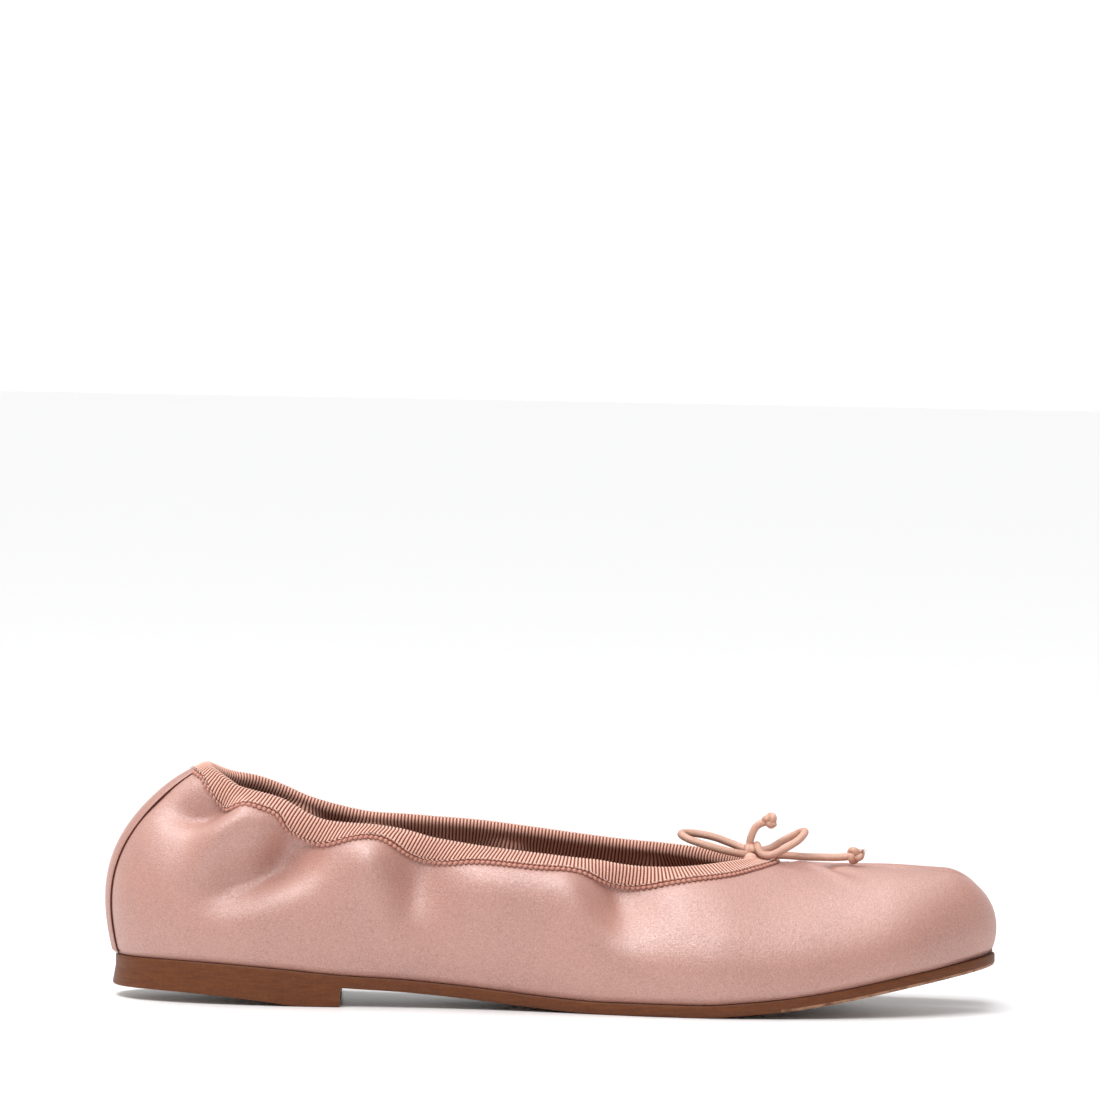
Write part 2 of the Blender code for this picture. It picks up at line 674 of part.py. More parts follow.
def main():
    for old in list(bpy.data.objects):
        bpy.data.objects.remove(old, do_unlink=True)
    group = bpy.data.collections.new("ballet_flat")
    bpy.context.scene.collection.children.link(group)

    satin = material("satin", SATIN, 0.45)
    leather = material("sole_leather", SOLE_TAN, 0.45)
    lining = material("lining_leather", LINING_BROWN, 0.6)
    ribbon = material("ribbon", RIBBON_PINK, 0.6)
    cord = material("cord", CORD_PINK, 0.6)

    make_upper(satin)
    slab("outsole", 0.0, lambda x: line_height(SOLE_LINE, x), sole_top, PLATE_BACK, TOE_END,
         BODY_STATIONS, leather)
    slab("insole", INSOLE_INSET, lambda x: sole_top(x) + GAP, lambda x: sole_top(x) + GAP + INSOLE_THICK,
         PLATE_BACK + INSOLE_INSET, TOE_END, BODY_STATIONS, lining)
    slab("heel", 0.0, lambda x: line_height(HEEL_LINE, x), lambda x: line_height(SOLE_LINE, x) - GAP,
         PLATE_BACK, HEEL_BREAST, HEEL_STATIONS, leather, HEEL_SPREAD)
    make_back_strip(satin)
    make_binding(ribbon)
    make_knot("bow_knot", BOW_KNOT, cord)
    make_cord("bow_loop_back", BOW_LOOP_BACK, cord)
    make_cord("bow_loop_front", BOW_LOOP_FRONT, cord)
    make_cord("bow_end_up", BOW_END_UP, cord)
    make_cord("bow_end_front", BOW_END_FRONT, cord)
    make_knot("bow_tip_up", BOW_TIP_UP, cord)
    make_knot("bow_tip_front", BOW_TIP_FRONT, cord)


main()
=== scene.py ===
"""Looks of the split-toe ballet flat: satin upper, gathered collar ribbon, leather sole, cord bow.

The frame is the CAD model's: +X to the toe, -Y to the outer side of the foot, +Z up, floor z = 0.
Tables and sizes are millimetres in the last's own frame, and placed() turns them into metres.
"""

import bmesh
import bpy
import numpy as np
from mathutils import Matrix, Vector
from mathutils.bvhtree import BVHTree
from mathutils.geometry import delaunay_2d_cdt
from mathutils.kdtree import KDTree


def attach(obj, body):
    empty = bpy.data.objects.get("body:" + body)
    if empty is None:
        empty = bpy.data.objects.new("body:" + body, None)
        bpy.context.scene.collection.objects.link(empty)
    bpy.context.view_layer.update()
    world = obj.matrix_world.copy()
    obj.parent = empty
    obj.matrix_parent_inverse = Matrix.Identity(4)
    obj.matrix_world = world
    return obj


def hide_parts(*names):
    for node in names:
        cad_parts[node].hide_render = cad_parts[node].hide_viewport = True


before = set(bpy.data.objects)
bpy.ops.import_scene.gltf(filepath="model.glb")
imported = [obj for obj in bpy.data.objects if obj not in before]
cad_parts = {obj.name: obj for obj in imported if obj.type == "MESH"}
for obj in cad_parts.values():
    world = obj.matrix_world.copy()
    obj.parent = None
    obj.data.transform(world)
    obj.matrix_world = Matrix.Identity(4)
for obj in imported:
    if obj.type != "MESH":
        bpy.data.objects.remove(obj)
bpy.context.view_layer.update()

MM = 0.001
SHIFT = (0.45, 1.53)      # the last's frame, moved along x and y so that the shoe's box is centred

# Driving sizes of the shoe.
WALL = 1.6                # satin, interlining and lining of the upper
GAP = 0.3                 # clearance between two pieces that meet
SOLE_THICK = 3.4
INSOLE_THICK = 1.5
FOOT_GAP = 0.12           # clearance between the upper's foot and the sole it is glued to
INSOLE_INSET = 2.2        # from the last's edge
RIBBON = 0.7              # one leg of the doubled collar ribbon
RIBBON_GAP = 0.35         # clearance between the ribbon and the satin
LINING_GAP = 0.5          # clearance between the ribbon and the lining
RIBBON_OUT = 7.4          # leg of the ribbon down the outside
RIBBON_IN = 6.6           # leg of the ribbon down the lining
CORD = 2.1                # diameter of the bow's cord
HEEL_BREAST = -57.0       # x of the heel block's front
HEEL_SPREAD = 1.013       # how much larger its underside is than its top

# The camera: place, degrees that it looks down and that it is rolled, lens, width of its film,
# and how far it sees, in metres.
CAMERA_PLACE = (-2.3, -2000.0, 192.6)
CAMERA_DOWN = 1.96
CAMERA_ROLL = 1.06
CAMERA_LENS = 238.9
CAMERA_SENSOR = 36.0
CAMERA_FAR = 100.0

# The last's edge seen from above, from the back of the heel along the outer side, round the
# outer toe lobe, into the cleft and back along the inner side. flare: lean of the wall at its
# foot, in degrees outwards. rise, over: how full the wall is low down and up at its top.
LAST = (
    # x, y, flare, rise, over
    (-119.3, 0.0, 15, 0.41, 0.66),
    (-115.8, -11.5, 17, 0.40, 0.60),
    (-106.0, -19.8, 18, 0.39, 0.53),
    (-92.0, -24.6, 18, 0.38, 0.46),
    (-77.0, -26.6, 18, 0.38, 0.45),
    (-60.0, -26.8, 19, 0.38, 0.45),
    (-42.0, -26.1, 20, 0.40, 0.45),
    (-22.0, -26.9, 21, 0.42, 0.45),
    (-3.0, -30.0, 22, 0.44, 0.46),
    (16.0, -35.0, 23, 0.46, 0.48),
    (33.0, -38.6, 24, 0.48, 0.50),
    (47.0, -39.7, 24, 0.50, 0.52),
    (58.0, -39.0, 24, 0.50, 0.55),
    (70.0, -37.0, 24, 0.50, 0.56),
    (82.0, -33.6, 24, 0.50, 0.57),
    (94.0, -28.9, 24, 0.50, 0.58),
    (105.0, -22.5, 24, 0.48, 0.60),
    (114.0, -14.5, 24, 0.55, 0.61),
    (119.3, -7.0, 24, 0.59, 0.63),
    (120.6, 0.0, 20, 0.61, 0.64),
    (116.8, 5.0, 10, 0.66, 0.66),
    (106.0, 6.6, 4, 0.90, 0.84),
    (92.0, 6.8, 3, 0.92, 0.88),
    (84.5, 6.9, 2, 0.92, 0.86),
    (82.6, 8.2, 0, 0.92, 0.84),
    (84.5, 9.5, 2, 0.92, 0.86),
    (92.0, 9.9, 3, 0.92, 0.88),
    (106.0, 10.4, 4, 0.90, 0.84),
    (117.0, 13.0, 12, 0.64, 0.66),
    (121.4, 19.5, 22, 0.53, 0.60),
    (119.0, 26.0, 24, 0.52, 0.60),
    (110.0, 31.8, 24, 0.48, 0.60),
    (98.0, 34.9, 24, 0.50, 0.58),
    (85.0, 36.6, 24, 0.50, 0.57),
    (71.0, 37.0, 24, 0.50, 0.56),
    (58.0, 36.0, 23, 0.50, 0.55),
    (46.0, 33.8, 22, 0.50, 0.52),
    (32.0, 30.3, 21, 0.48, 0.50),
    (16.0, 26.0, 20, 0.46, 0.48),
    (-2.0, 21.7, 20, 0.44, 0.46),
    (-22.0, 19.3, 20, 0.42, 0.45),
    (-42.0, 20.0, 20, 0.40, 0.45),
    (-60.0, 22.4, 19, 0.38, 0.45),
    (-77.0, 24.4, 18, 0.38, 0.45),
    (-92.0, 24.0, 18, 0.38, 0.46),
    (-106.0, 19.6, 18, 0.39, 0.53),
    (-115.8, 11.5, 17, 0.40, 0.60),
)

# The upper's edge in the collar ribbon. Its first 12 rows are in step with the first of LAST and
# its last 12 with the last. lean: slope of the wall where it reaches the edge, in degrees.
COLLAR = (
    # x, y, z, lean
    (-95.5, 0.0, 63.4, 30),
    (-94.2, -7.0, 63.0, 38),
    (-90.0, -12.8, 60.2, 53),
    (-83.5, -16.5, 56.9, 62),
    (-75.5, -19.0, 54.9, 66),
    (-65.0, -20.8, 50.2, 68),
    (-49.0, -22.2, 48.2, 68),
    (-27.0, -23.0, 44.2, 66),
    (-6.0, -23.6, 41.7, 62),
    (15.0, -23.0, 39.5, 55),
    (33.0, -19.6, 38.1, 42),
    (47.5, -12.5, 39.0, 25),
    (56.0, 1.5, 39.8, 8),
    (48.5, 13.3, 39.9, 25),
    (34.0, 19.2, 41.6, 40),
    (16.0, 20.5, 43.2, 52),
    (-4.0, 19.6, 45.6, 60),
    (-26.0, 18.5, 47.9, 65),
    (-48.0, 18.8, 49.1, 68),
    (-64.0, 19.2, 52.0, 68),
    (-76.0, 18.2, 56.5, 66),
    (-84.5, 15.8, 59.2, 62),
    (-90.5, 12.4, 60.8, 53),
    (-94.2, 7.2, 62.7, 38),
)
THROAT = 12               # the row at the throat's centre, which LAST has on the outer side
THROAT_ROWS = 4.0         # this many rows from it the sections begin to turn across the vamp
STRIP_ROWS = 0.56         # rows of LAST from the back seam to the edge of the back strip

# Top lines of the vamp: from the throat to the end of the cleft, then one on each toe lobe.
SPINE = ((56.0, 1.5, 39.8), (62.0, 3.0, 39.1), (69.0, 4.8, 38.9), (77.0, 6.8, 38.8))
RIDGE_OUTER = (
    (77.0, 6.8, 38.8), (81.5, 2.8, 38.7), (88.0, -2.2, 38.6), (97.0, -5.4, 38.7), (107.0, -6.5, 38.1),
)
RIDGE_INNER = (
    (77.0, 6.8, 38.8), (81.0, 9.8, 38.8), (87.0, 12.4, 38.7), (96.0, 14.2, 38.6), (107.5, 15.6, 37.9),
)

# Strips of wall between two rows of LAST, and the top line that each climbs to.
PANELS = (
    # first row, last row, top line, from, to, sections
    (0.0, 12.0, "collar", 0, 12, 200),
    (12.0, 13.6, "spine", 0, 1, 18),
    (13.6, 16.3, "outer", 0, 1, 34),
    (16.3, 20.2, "outer", 1, 1, 44),
    (20.2, 23.3, "outer", 1, 0, 34),
    (23.3, 24.7, "spine", 1, 1, 12),
    (24.7, 27.8, "inner", 0, 1, 34),
    (27.8, 31.1, "inner", 1, 1, 44),
    (31.1, 33.5, "inner", 1, 0, 34),
    (33.5, 35.0, "spine", 1, 0, 18),
    (35.0, 47.0, "collar", 12, 24, 200),
)
LEVELS = 96               # points from the sole to the top, on the satin
LINING_LEVELS = 36        # the same on the lining
CROWDING = 0.4            # how much closer the sections stand at the heel and the throat
EDGE_POINTS = 1400        # points of the collar's edge from which distances are measured

# Underside of the outsole from heel to toe, and of the heel block.
SOLE_LINE = (
    # x, z of the underside
    (-125.0, 8.1), (-107.0, 8.2), (-91.0, 7.7), (-75.0, 6.7), (-57.0, 5.2), (-40.0, 4.3),
    (-24.0, 3.0), (-10.0, 1.6), (3.0, 0.5), (14.0, 0.0), (27.0, 0.0), (40.0, 0.0),
    (52.0, 0.8), (66.0, 2.3), (80.0, 4.6), (94.0, 7.4), (108.0, 10.1), (125.0, 13.4),
)
HEEL_LINE = (
    (-125.0, 3.1), (-112.0, 3.2), (-100.0, 2.9), (-88.0, 2.1), (-76.0, 0.9), (-68.0, 0.0),
    (-62.0, 0.0), (-50.0, 0.0),
)

# How far the satin swells out under the ribbon, along each side of the collar.
SWELL_OUTER = (
    # x along the collar, swell
    (-120.0, 0.0), (-96.0, 0.6), (-90.0, -1.6), (-86.5, 0.0), (-82.0, 4.0), (-77.5, 4.8),
    (-73.0, 4.0), (-69.0, 1.6), (-63.0, 0.8), (-57.5, 2.6), (-52.0, 4.8), (-47.0, 5.6),
    (-42.0, 4.4), (-37.5, 2.2), (-33.5, 0.7), (-28.0, 1.9), (-20.0, 3.9), (-10.0, 4.5),
    (0.0, 4.0), (8.0, 3.7), (13.0, 2.3), (18.0, 0.3), (25.0, 0.2), (31.0, 1.4), (38.0, 1.8),
    (46.0, 1.0), (56.0, 0.6), (70.0, 0.0),
)
SWELL_INNER = (
    # the same
    (-120.0, 0.0), (-96.0, 0.4), (-90.0, -0.6), (-82.0, 2.6), (-75.0, 1.8), (-69.0, 0.2), (-60.0, 2.4),
    (-51.0, 0.3), (-41.0, 2.0), (-31.0, 1.1), (-20.0, 1.6), (-11.0, 1.3), (0.0, 1.8), (12.0, 1.5),
    (24.0, 0.6), (36.0, 1.4), (47.0, 0.5), (56.0, 0.4), (70.0, 0.0),
)
SWELL_AT = 10.0           # the swell is fullest this far down the wall from the edge
SWELL_FADE = 11.0         # and dies away over about this distance further down

# Creases of the satin, as soft troughs (depth above 0) or ridges (below 0) along short lines
# that start at the ribbon. At its reach a crease is down to a fifth of its depth. One reach is
# for its toe side, or for below it, and the other for its heel side, or above it.
CREASES = (
    # side, depth, reach to the toe, reach to the heel, points of the line: x and z, or x and y
    # on the top of the vamp
    ("outer", 4.4, 5.6, 6.0, (
        (-86.0, 53.0), (-92.0, 52.2), (-98.0, 51.8), (-104.0, 52.0), (-110.0, 52.4))),
    ("outer", -2.6, 5.0, 6.0, (
        (-81.5, 54.5), (-87.0, 50.0), (-91.5, 44.5), (-94.4, 38.0), (-93.5, 31.0))),
    ("outer", 8.8, 9.4, 7.8, (
        (-67.5, 44.6), (-71.5, 42.4), (-75.5, 40.4), (-80.0, 37.9), (-85.0, 35.1), (-90.0, 32.0),
        (-95.0, 28.6), (-99.0, 25.4))),
    ("outer", 4.0, 13.0, 7.6, (
        (-40.5, 43.0), (-39.4, 38.0), (-38.0, 32.5), (-36.0, 26.5), (-33.4, 20.5))),
    ("outer", 4.2, 12.0, 8.2, ((14.0, 39.0), (15.8, 34.9), (17.7, 30.0), (19.5, 24.8), (19.9, 20.0))),
    ("outer", -1.2, 7.0, 7.0, ((1.0, 36.0), (6.0, 28.0), (12.5, 21.0), (20.0, 16.0))),
    ("top", -0.8, 2.6, 2.6, ((67.0, 1.6), (71.0, -1.0), (75.5, -4.8), (80.6, -11.2), (85.0, -16.4))),
    ("top", 2.6, 2.8, 2.8, (
        (63.0, 7.0), (67.0, 5.6), (71.5, 3.4), (75.5, 0.0), (80.6, -6.4), (85.0, -11.8))),
    ("inner", 3.6, 4.4, 7.6, ((-68.0, 50.0), (-72.0, 46.0), (-78.0, 41.0), (-84.0, 37.0))),
    ("inner", 3.2, 6.6, 4.2, ((-51.0, 46.0), (-49.0, 40.0), (-46.0, 34.0), (-42.0, 28.0))),
    ("inner", 2.6, 4.0, 6.6, ((-13.0, 42.0), (-10.0, 36.0), (-6.0, 30.0), (-3.0, 25.0))),
    ("inner", 2.4, 6.0, 4.0, ((27.0, 38.0), (28.0, 33.0), (31.0, 28.0), (35.0, 23.0))),
)

# Centre lines of the bow's two cords, from the ribbon's casing at the throat to the free end.
BOW_BACK = (
    (55.2, -0.8, 40.4), (54.5, -1.6, 41.2), (53.0, -2.5, 41.7), (50.6, -3.2, 42.1), (47.1, -3.7, 42.8),
    (43.6, -3.8, 43.7), (40.1, -3.4, 44.7), (37.3, -2.5, 45.6), (35.6, -1.0, 46.4), (35.2, 0.9, 46.9),
    (36.6, 2.6, 47.0), (39.4, 3.3, 46.8), (42.6, 3.2, 46.3), (45.4, 2.9, 45.6), (47.9, 2.6, 44.7),
    (50.2, 2.0, 43.9), (52.3, 1.1, 43.1), (54.6, 0.2, 42.3), (57.1, -0.3, 41.7), (59.8, 0.3, 41.5),
    (62.8, 1.4, 41.4), (66.5, 2.1, 41.2), (70.0, 2.3, 41.0), (73.5, 2.4, 41.0), (77.0, 2.3, 41.0),
    (80.2, 2.2, 41.2), (82.6, 2.1, 41.6),
)
BOW_FRONT = (
    (55.4, 2.3, 40.4), (55.8, 2.7, 41.8), (56.0, 2.2, 43.2), (56.0, 0.8, 44.1), (56.1, -0.9, 44.1),
    (56.4, -2.3, 43.2), (57.5, -3.2, 41.9), (59.3, -3.4, 41.7), (61.4, -3.4, 42.4), (64.2, -3.2, 43.9),
    (67.0, -2.5, 45.7), (68.6, -1.1, 47.2), (69.1, 0.7, 48.0), (68.3, 2.5, 47.9), (66.9, 3.3, 47.2),
    (65.1, 3.6, 46.3), (62.6, 3.3, 44.9), (60.2, 2.7, 43.4), (58.0, 2.2, 42.7), (56.2, 1.6, 42.7),
    (54.8, 0.8, 43.2), (54.1, 0.1, 44.3), (54.2, -0.2, 45.8), (54.7, -0.2, 47.4), (55.5, 0.0, 49.0),
    (56.9, 0.0, 50.1), (58.9, 0.0, 50.8),
)
BOW_WRAPS = (
    # middle, half length, half sizes across it, turns, first angle, share of the cord's thickness
    ((53.9, -0.2, 42.5), 0.75, (2.0, 1.25), 1.6, -0.6, 0.94),
    ((55.3, 0.4, 42.2), 0.4, (1.2, 0.8), 1.0, 0.8, 0.9),
)
# The knot at the end of each cord: middle, half size, half the thickness of its cord, lean in
# radians. From the upper one a stub sticks out, and from the front one the frayed end.
TIP_UP = ((59.4, 0.0, 51.0), 2.35, 0.98, 0.5)
TIP_FRONT = ((83.1, 2.1, 41.7), 2.6, 1.02, -0.4)
STUB = ((59.4, 0.0, 51.0), (60.2, -0.5, 50.4), (60.6, -1.0, 49.6))
STUB_RADIUS = 0.8
FRAY_FROM = (1.6, -0.5, 0.9)      # from the middle of the knot
FRAY_WAY = (0.8, -0.3, 0.6)
FRAY_LONG = 0.7
FIBRES = 26
FIBRE_SPREAD = 0.42
FIBRE_RADIUS = 0.11
CORD_POINTS = 260         # along each cord, and round it and round the knots at the ends
CORD_SIDES = 20
KNOT_SIDES = 16

# Seams between strips of wall whose folds are spread out.
SOFT_SEAMS = (
    # number of the seam, sections on each side, rounds
    (1, 34, 340), (10, 34, 340), (3, 16, 60), (8, 16, 60),
)
SOFT_HELD = 0.06          # the top of the sections is held in place over this share of them
SOFT_FOOT = 0.15          # and their foot over this share

RIDGE_SHARE = 0.40        # how strong the ridges beside a crease are
CREASE_POINTS = 24        # dents in the row that makes a crease
CREASE_EVENED = 9         # over this many of them a crease's line is evened out
CREASE_CLEAR = 6.0        # the creases begin over this distance from the collar's edge
CREASE_HIGH = 9.0         # and over this height above the sole
FAR = 1000.0              # farther away than anything on the shoe
UNEVEN = 0.12             # the satin's slight unevenness, and the length of its waves
UNEVEN_SIZE = 34.0
NOISE_WAVES = 14          # waves that the unevenness is the sum of
FOOT_TUCK = 0.55          # the satin turns in by this much where it meets the sole
FOOT_HIGH = 1.5           # over this height
CLEFT_FROM = 74.0         # ahead of this x the lining stays below LINING_TOP
LINING_TOP = 37.2
STRIP_THICK = 1.0
STRIP_FROM = 0.004        # the back strip's ends, as levels on the wall
STRIP_TO = 0.985
STRIP_COLUMNS = 41        # points across the back strip and up it
STRIP_LEVELS = 160
STRIP_END = 0.012         # share of the wall's height over which the strip's ends are rounded
STRIP_TAPER = 0.03        # and over which the strip thins under the ribbon
STRIP_THIN = 0.8          # by this share of itself
STRIP_SEAM = 0.12         # depth of the seams along its edges
SEAM_AT = 0.78            # their place and width, as shares of half the strip's width
SEAM_WIDE = 0.08
STRIP_LOW = 0.02          # height over the satin of the strip's underside
STRIP_LEAST = 0.05        # and of its face where it is thinnest

# The collar ribbon.
RIB_PITCH = 0.95
RIB_SAMPLES = 7           # points across one rib
RIB_HIGH = 0.46           # from the gap to the crest
LOOP_PITCH = 1.35         # of the small loops along its selvedge
HEEL_SHORT = (
    # distance from the back seam along the collar, how much shorter the outer leg is
    (0.0, 2.2), (4.0, 3.0), (9.0, 3.6), (13.0, 2.4), (17.0, 0.8), (21.0, 0.0),
)
THROAT_SHORT = (
    # the same from the throat
    (0.0, 0.9), (5.0, 1.9), (10.0, 2.1), (16.0, 1.4), (24.0, 0.5), (32.0, 0.0),
)
LEG_SHORT = (
    # x along the collar's outer side, how much shorter the outer leg is
    (-84.0, 0.0), (-78.0, 0.3), (-73.0, 1.4), (-68.0, 0.6), (-60.0, 0.6), (-50.0, 0.9),
    (-40.0, 1.2), (-33.0, 1.1), (-22.0, 0.6), (-6.0, 0.1), (4.0, 0.5), (11.0, 1.7), (24.0, 1.7),
    (34.0, 0.6), (42.0, 0.0),
)
LEG_SHARE = 0.30          # a swell of the satin turns the ribbon inwards by this share of itself
FOLD_SHARE = 0.30         # and lifts the fold by this share
FOLD_CLEAR = 0.1          # clearance between the fold and the satin's edge, on top of RIBBON_GAP
CHANNEL = 0.5             # the bow's cord in the fold lifts it by this much at the throat
CHANNEL_FROM = 20.0       # from this x on
CHANNEL_GROWS = 32.0      # and over this length
COLLAR_STEPS = 4000       # steps in which the collar's length is measured
FRAMES = 480              # places along the collar where the wall below it is measured
LEG_STEP = 0.9            # spacing of the points measured down it
LEG_STEPS = 10
STITCH_LONG = 0.90
STITCH_THICK = 0.26
STITCH_UP = 1.0           # from the foot of the outer leg up to the row of stitches
STITCH_ARCH = 0.20        # how high the middle of a stitch stands over its ends
STITCH_SLANT = 0.18
STITCH_UNEVEN = (0.04, 0.03, 0.05)  # spread of their places along, off and down the ribbon
STITCH_RINGS = 7
STITCH_SIDES = 6
SKEW = (
    # x along the collar's outer side, slant of the ribs
    (-120.0, 0.0), (-80.0, 0.0), (-66.0, 0.18), (-50.0, 0.36), (-20.0, 0.34), (0.0, 0.12),
    (14.0, 0.0), (60.0, 0.0),
)

# The sole's plates: rows of (moved in, level) along the edge, from the underside up.
SOLE_EDGE = (
    (1.4, 0.0), (0.70, 0.0), (0.45, 0.03), (0.20, 0.11), (0.0, 0.24), (0.0, 0.75), (0.06, 0.9),
    (0.3, 0.98), (0.8, 1.0))
SOLE_PROUD = (0.15, 1.0)  # how far the sole stands out past the last along its sides and at the toe
PROUD_FROM = 104.0        # x from which it grows, and the length over which it does
PROUD_GROWS = 14.0
HEEL_EDGE = ((1.2, 0.0), (0.45, 0.0), (0.12, 0.05), (0.0, 0.15), (0.0, 1.0), (0.8, 1.0))
INSOLE_EDGE = ((0.8, 0.0), (0.1, 0.05), (0.0, 0.4), (0.15, 0.8), (0.5, 1.0), (1.2, 1.0))
HEEL_SEAM = 0.01          # the heel's cover lies this close under the outsole
RIM_FROM = 62.0           # x from which the sole's lower corner carries a painted highlight
CLEFT_Y = 8.2             # the middle of the cleft
CLEFT_HALF = 3.0          # this far from it the sole doesn't stand out
CLEFT_GROWS = 4.0         # and over this distance more it comes to stand out
SHARP = 38.0              # degrees between two faces from which their edge is sharp
OUTLINE_STEP = 0.06       # spacing of the outline's points, in rows of LAST
FILL_SPACING = 5.0        # of the points inside a plate's faces

# The mouth of the cords' casing: middle, half sizes.
CASING = ((54.0, -2.4, 40.1), (2.3, 2.2, 2.3))
CASING_SIDES = 40
CASING_LEVELS = 14
PLEATS = 9
PLEAT_DEEP = 0.05         # as a share of its half size

# Bar tack at the end of the cleft.
TACK_FROM = 79.0
TACK_PITCH = 0.42
TACK_WRAPS = 9
TACK_Y = 7.4
TACK_HALF = 1.7           # half of its length across the cleft
TACK_RADIUS = 0.62        # of its thread, as a share of the pitch
TACK_SUNK = 0.4           # how far its ends lie below the top of the satin
TACK_ARCH = 0.25          # and how much higher its middle is

# Studio, in metres.
FLOOR_RADIUS = 12.0
SKY_LOW = (1.15, 1.15, 1.15)      # the studio's wall behind the shoe, near the horizon
SKY_NEAR = (0.40, 0.40, 0.40)     # the wall in front of it
SKY_SIDE = 0.5                    # sine of the angle, either way, over which one fades into the other
SKY_HIGH = (0.42, 0.42, 0.43)     # the ceiling
SKY_FROM = 0.10                   # sine of the height at which the walls begin to fade into it
SKY_TO = 0.45
KEY_WAY = (-0.22, 0.22, 1.0)      # towards the broad lamp above
KEY_SPREAD = 45.0                 # how wide it looks from the shoe, in degrees
KEY_STRENGTH = 1.8
BOX_PLACE = (-0.32, -0.62, 1.25)  # the soft box
BOX_AIM = (0.0, 0.0, 0.03)
BOX_SIZE = (1.3, 0.6)
BOX_WATTS = 19.5

# Colours, in linear light.
SATIN = (0.318, 0.092, 0.050)
SATIN_DEEP = (0.256, 0.065, 0.033)
SATIN_PALE = (0.420, 0.154, 0.098)
# the back strip: the upper's satin painted a little darker, as painted shade on a face turned from the
# light
STRIP_SHADED_PINK = (0.290, 0.084, 0.046)
STRIP_SHADED_DEEP = (0.235, 0.060, 0.031)
STRIP_SHADED_PALE = (0.380, 0.138, 0.089)
RIB_PALE = (0.78, 0.48, 0.385)
# painted shade in the gaps between the ribs
RIB_GAP_SHADE = (0.15, 0.022, 0.006)
RIBBON_PINK = (0.34, 0.125, 0.08)
EDGE_PINK = (0.46, 0.20, 0.15)
THREAD_PALE = (0.80, 0.68, 0.62)
THREAD_DEEP = (0.48, 0.25, 0.19)
CORD_PALE = (0.70, 0.415, 0.305)
CORD_DEEP = (0.40, 0.160, 0.095)
SOLE_BROWN = (0.140, 0.043, 0.014)
SOLE_DEEP = (0.100, 0.029, 0.010)
SOLE_TAN = (0.18, 0.064, 0.024)
# painted shade for the back strip's turned edges
FOLD_SHADE_PINK = (0.10, 0.028, 0.016)
FOLD_SHADE_DEEP = (0.05, 0.012, 0.007)
# painted highlight on the sole's lower corner
RIM_HIGHLIGHT_TAN = (0.36, 0.19, 0.11)
RIM_HIGHLIGHT_DEEP = (0.16, 0.06, 0.028)
UNDER_TAN = (0.30, 0.165, 0.085)
UNDER_DEEP = (0.20, 0.10, 0.05)
LINING_TAN = (0.27, 0.12, 0.065)
LINING_DEEP = (0.17, 0.065, 0.032)
FLOOR = (0.955, 0.955, 0.955)
FLOOR_OTHER = (0.965, 0.965, 0.965)


# ---- curves

def fit_closed(rows):
    """Rows, spacing in plan and bend of the smooth closed curve through the rows."""
    rows = np.array(rows, float)
    ahead = np.roll(rows, -1, 0) - rows
    step = np.linalg.norm(ahead[:, :2], axis=1)
    before = np.roll(step, 1)
    slope = ahead / step[:, None]
    matrix = np.diag(2 * (before + step))
    for i in range(len(rows)):
        matrix[i, i - 1] = before[i]
        matrix[i, (i + 1) % len(rows)] = step[i]
    return rows, step, np.linalg.solve(matrix, 6 * (slope - np.roll(slope, 1, 0)))


def closed_spline(fit, at):
    """The fitted closed curve, read at an array of row numbers that may be fractions."""
    rows, step, bend = fit
    at = np.asarray(at, float)
    i = np.floor(at).astype(int) % len(rows)
    j = (i + 1) % len(rows)
    b = (at - np.floor(at))[..., None]
    a = 1 - b
    cubic = (a ** 3 - a) * bend[i] + (b ** 3 - b) * bend[j]
    return a * rows[i] + b * rows[j] + cubic * step[i][..., None] ** 2 / 6


LAST_FIT = fit_closed(LAST)
COLLAR_FIT = fit_closed(COLLAR)


def between(p0, p1, p2, p3, f):
    """Points at the share f of the way from p1 to p2, on a smooth curve from p0 to p3."""
    return 0.5 * (2 * p1 + (p2 - p0) * f + (2 * p0 - 5 * p1 + 4 * p2 - p3) * f ** 2
                  + (3 * p1 - p0 - 3 * p2 + p3) * f ** 3)


def closed_way(fit, at, step):
    """From just before to just after places on the fitted closed curve."""
    return closed_spline(fit, at + step) - closed_spline(fit, at - step)


def open_spline(rows, share):
    """Smooth open curve through the rows, read at shares, 0 to 1, of the way along them."""
    rows = np.array(rows, float)
    place = np.asarray(share, float) * (len(rows) - 1)
    i = np.minimum(place.astype(int), len(rows) - 2)
    padded = np.vstack([2 * rows[0] - rows[1], rows, 2 * rows[-1] - rows[-2]])
    return between(*(padded[i + k] for k in range(4)), (place - i)[..., None])


def line_height(line, x):
    """Heights of a line of (x, z) rows, smooth, and exactly flat where the rows are flat."""
    rows = np.array(line, float)
    xs, zs = rows[:, 0], rows[:, 1]
    x = np.clip(x, xs[0], xs[-1])
    chord = np.diff(zs) / np.diff(xs)
    slope = np.concatenate([[chord[0]], (chord[1:] + chord[:-1]) / 2, [chord[-1]]])
    flat = np.isclose(chord, 0)
    slope[:-1][flat] = 0
    slope[1:][flat] = 0
    i = np.clip(np.searchsorted(xs, x) - 1, 0, len(xs) - 2)
    width = xs[i + 1] - xs[i]
    f = (x - xs[i]) / width
    return (zs[i] * (1 + 2 * f) * (1 - f) ** 2 + zs[i + 1] * (3 - 2 * f) * f ** 2
            + width * (slope[i] * f * (1 - f) ** 2 - slope[i + 1] * f ** 2 * (1 - f)))


def unit(vectors):
    """Vectors at length 1."""
    return vectors / np.maximum(np.linalg.norm(vectors, axis=-1, keepdims=True), 1e-12)


def to_right(way):
    """Directions in plan, turned a quarter to the right."""
    return np.stack([way[..., 1], -way[..., 0]], -1)


def ease(f):
    """0 to 1 with soft ends."""
    f = np.clip(f, 0, 1)
    return f * f * (3 - 2 * f)


def distances(path):
    """How far along a path each of its points is."""
    return np.concatenate([[0], np.cumsum(np.linalg.norm(np.diff(path, axis=0), axis=1))])


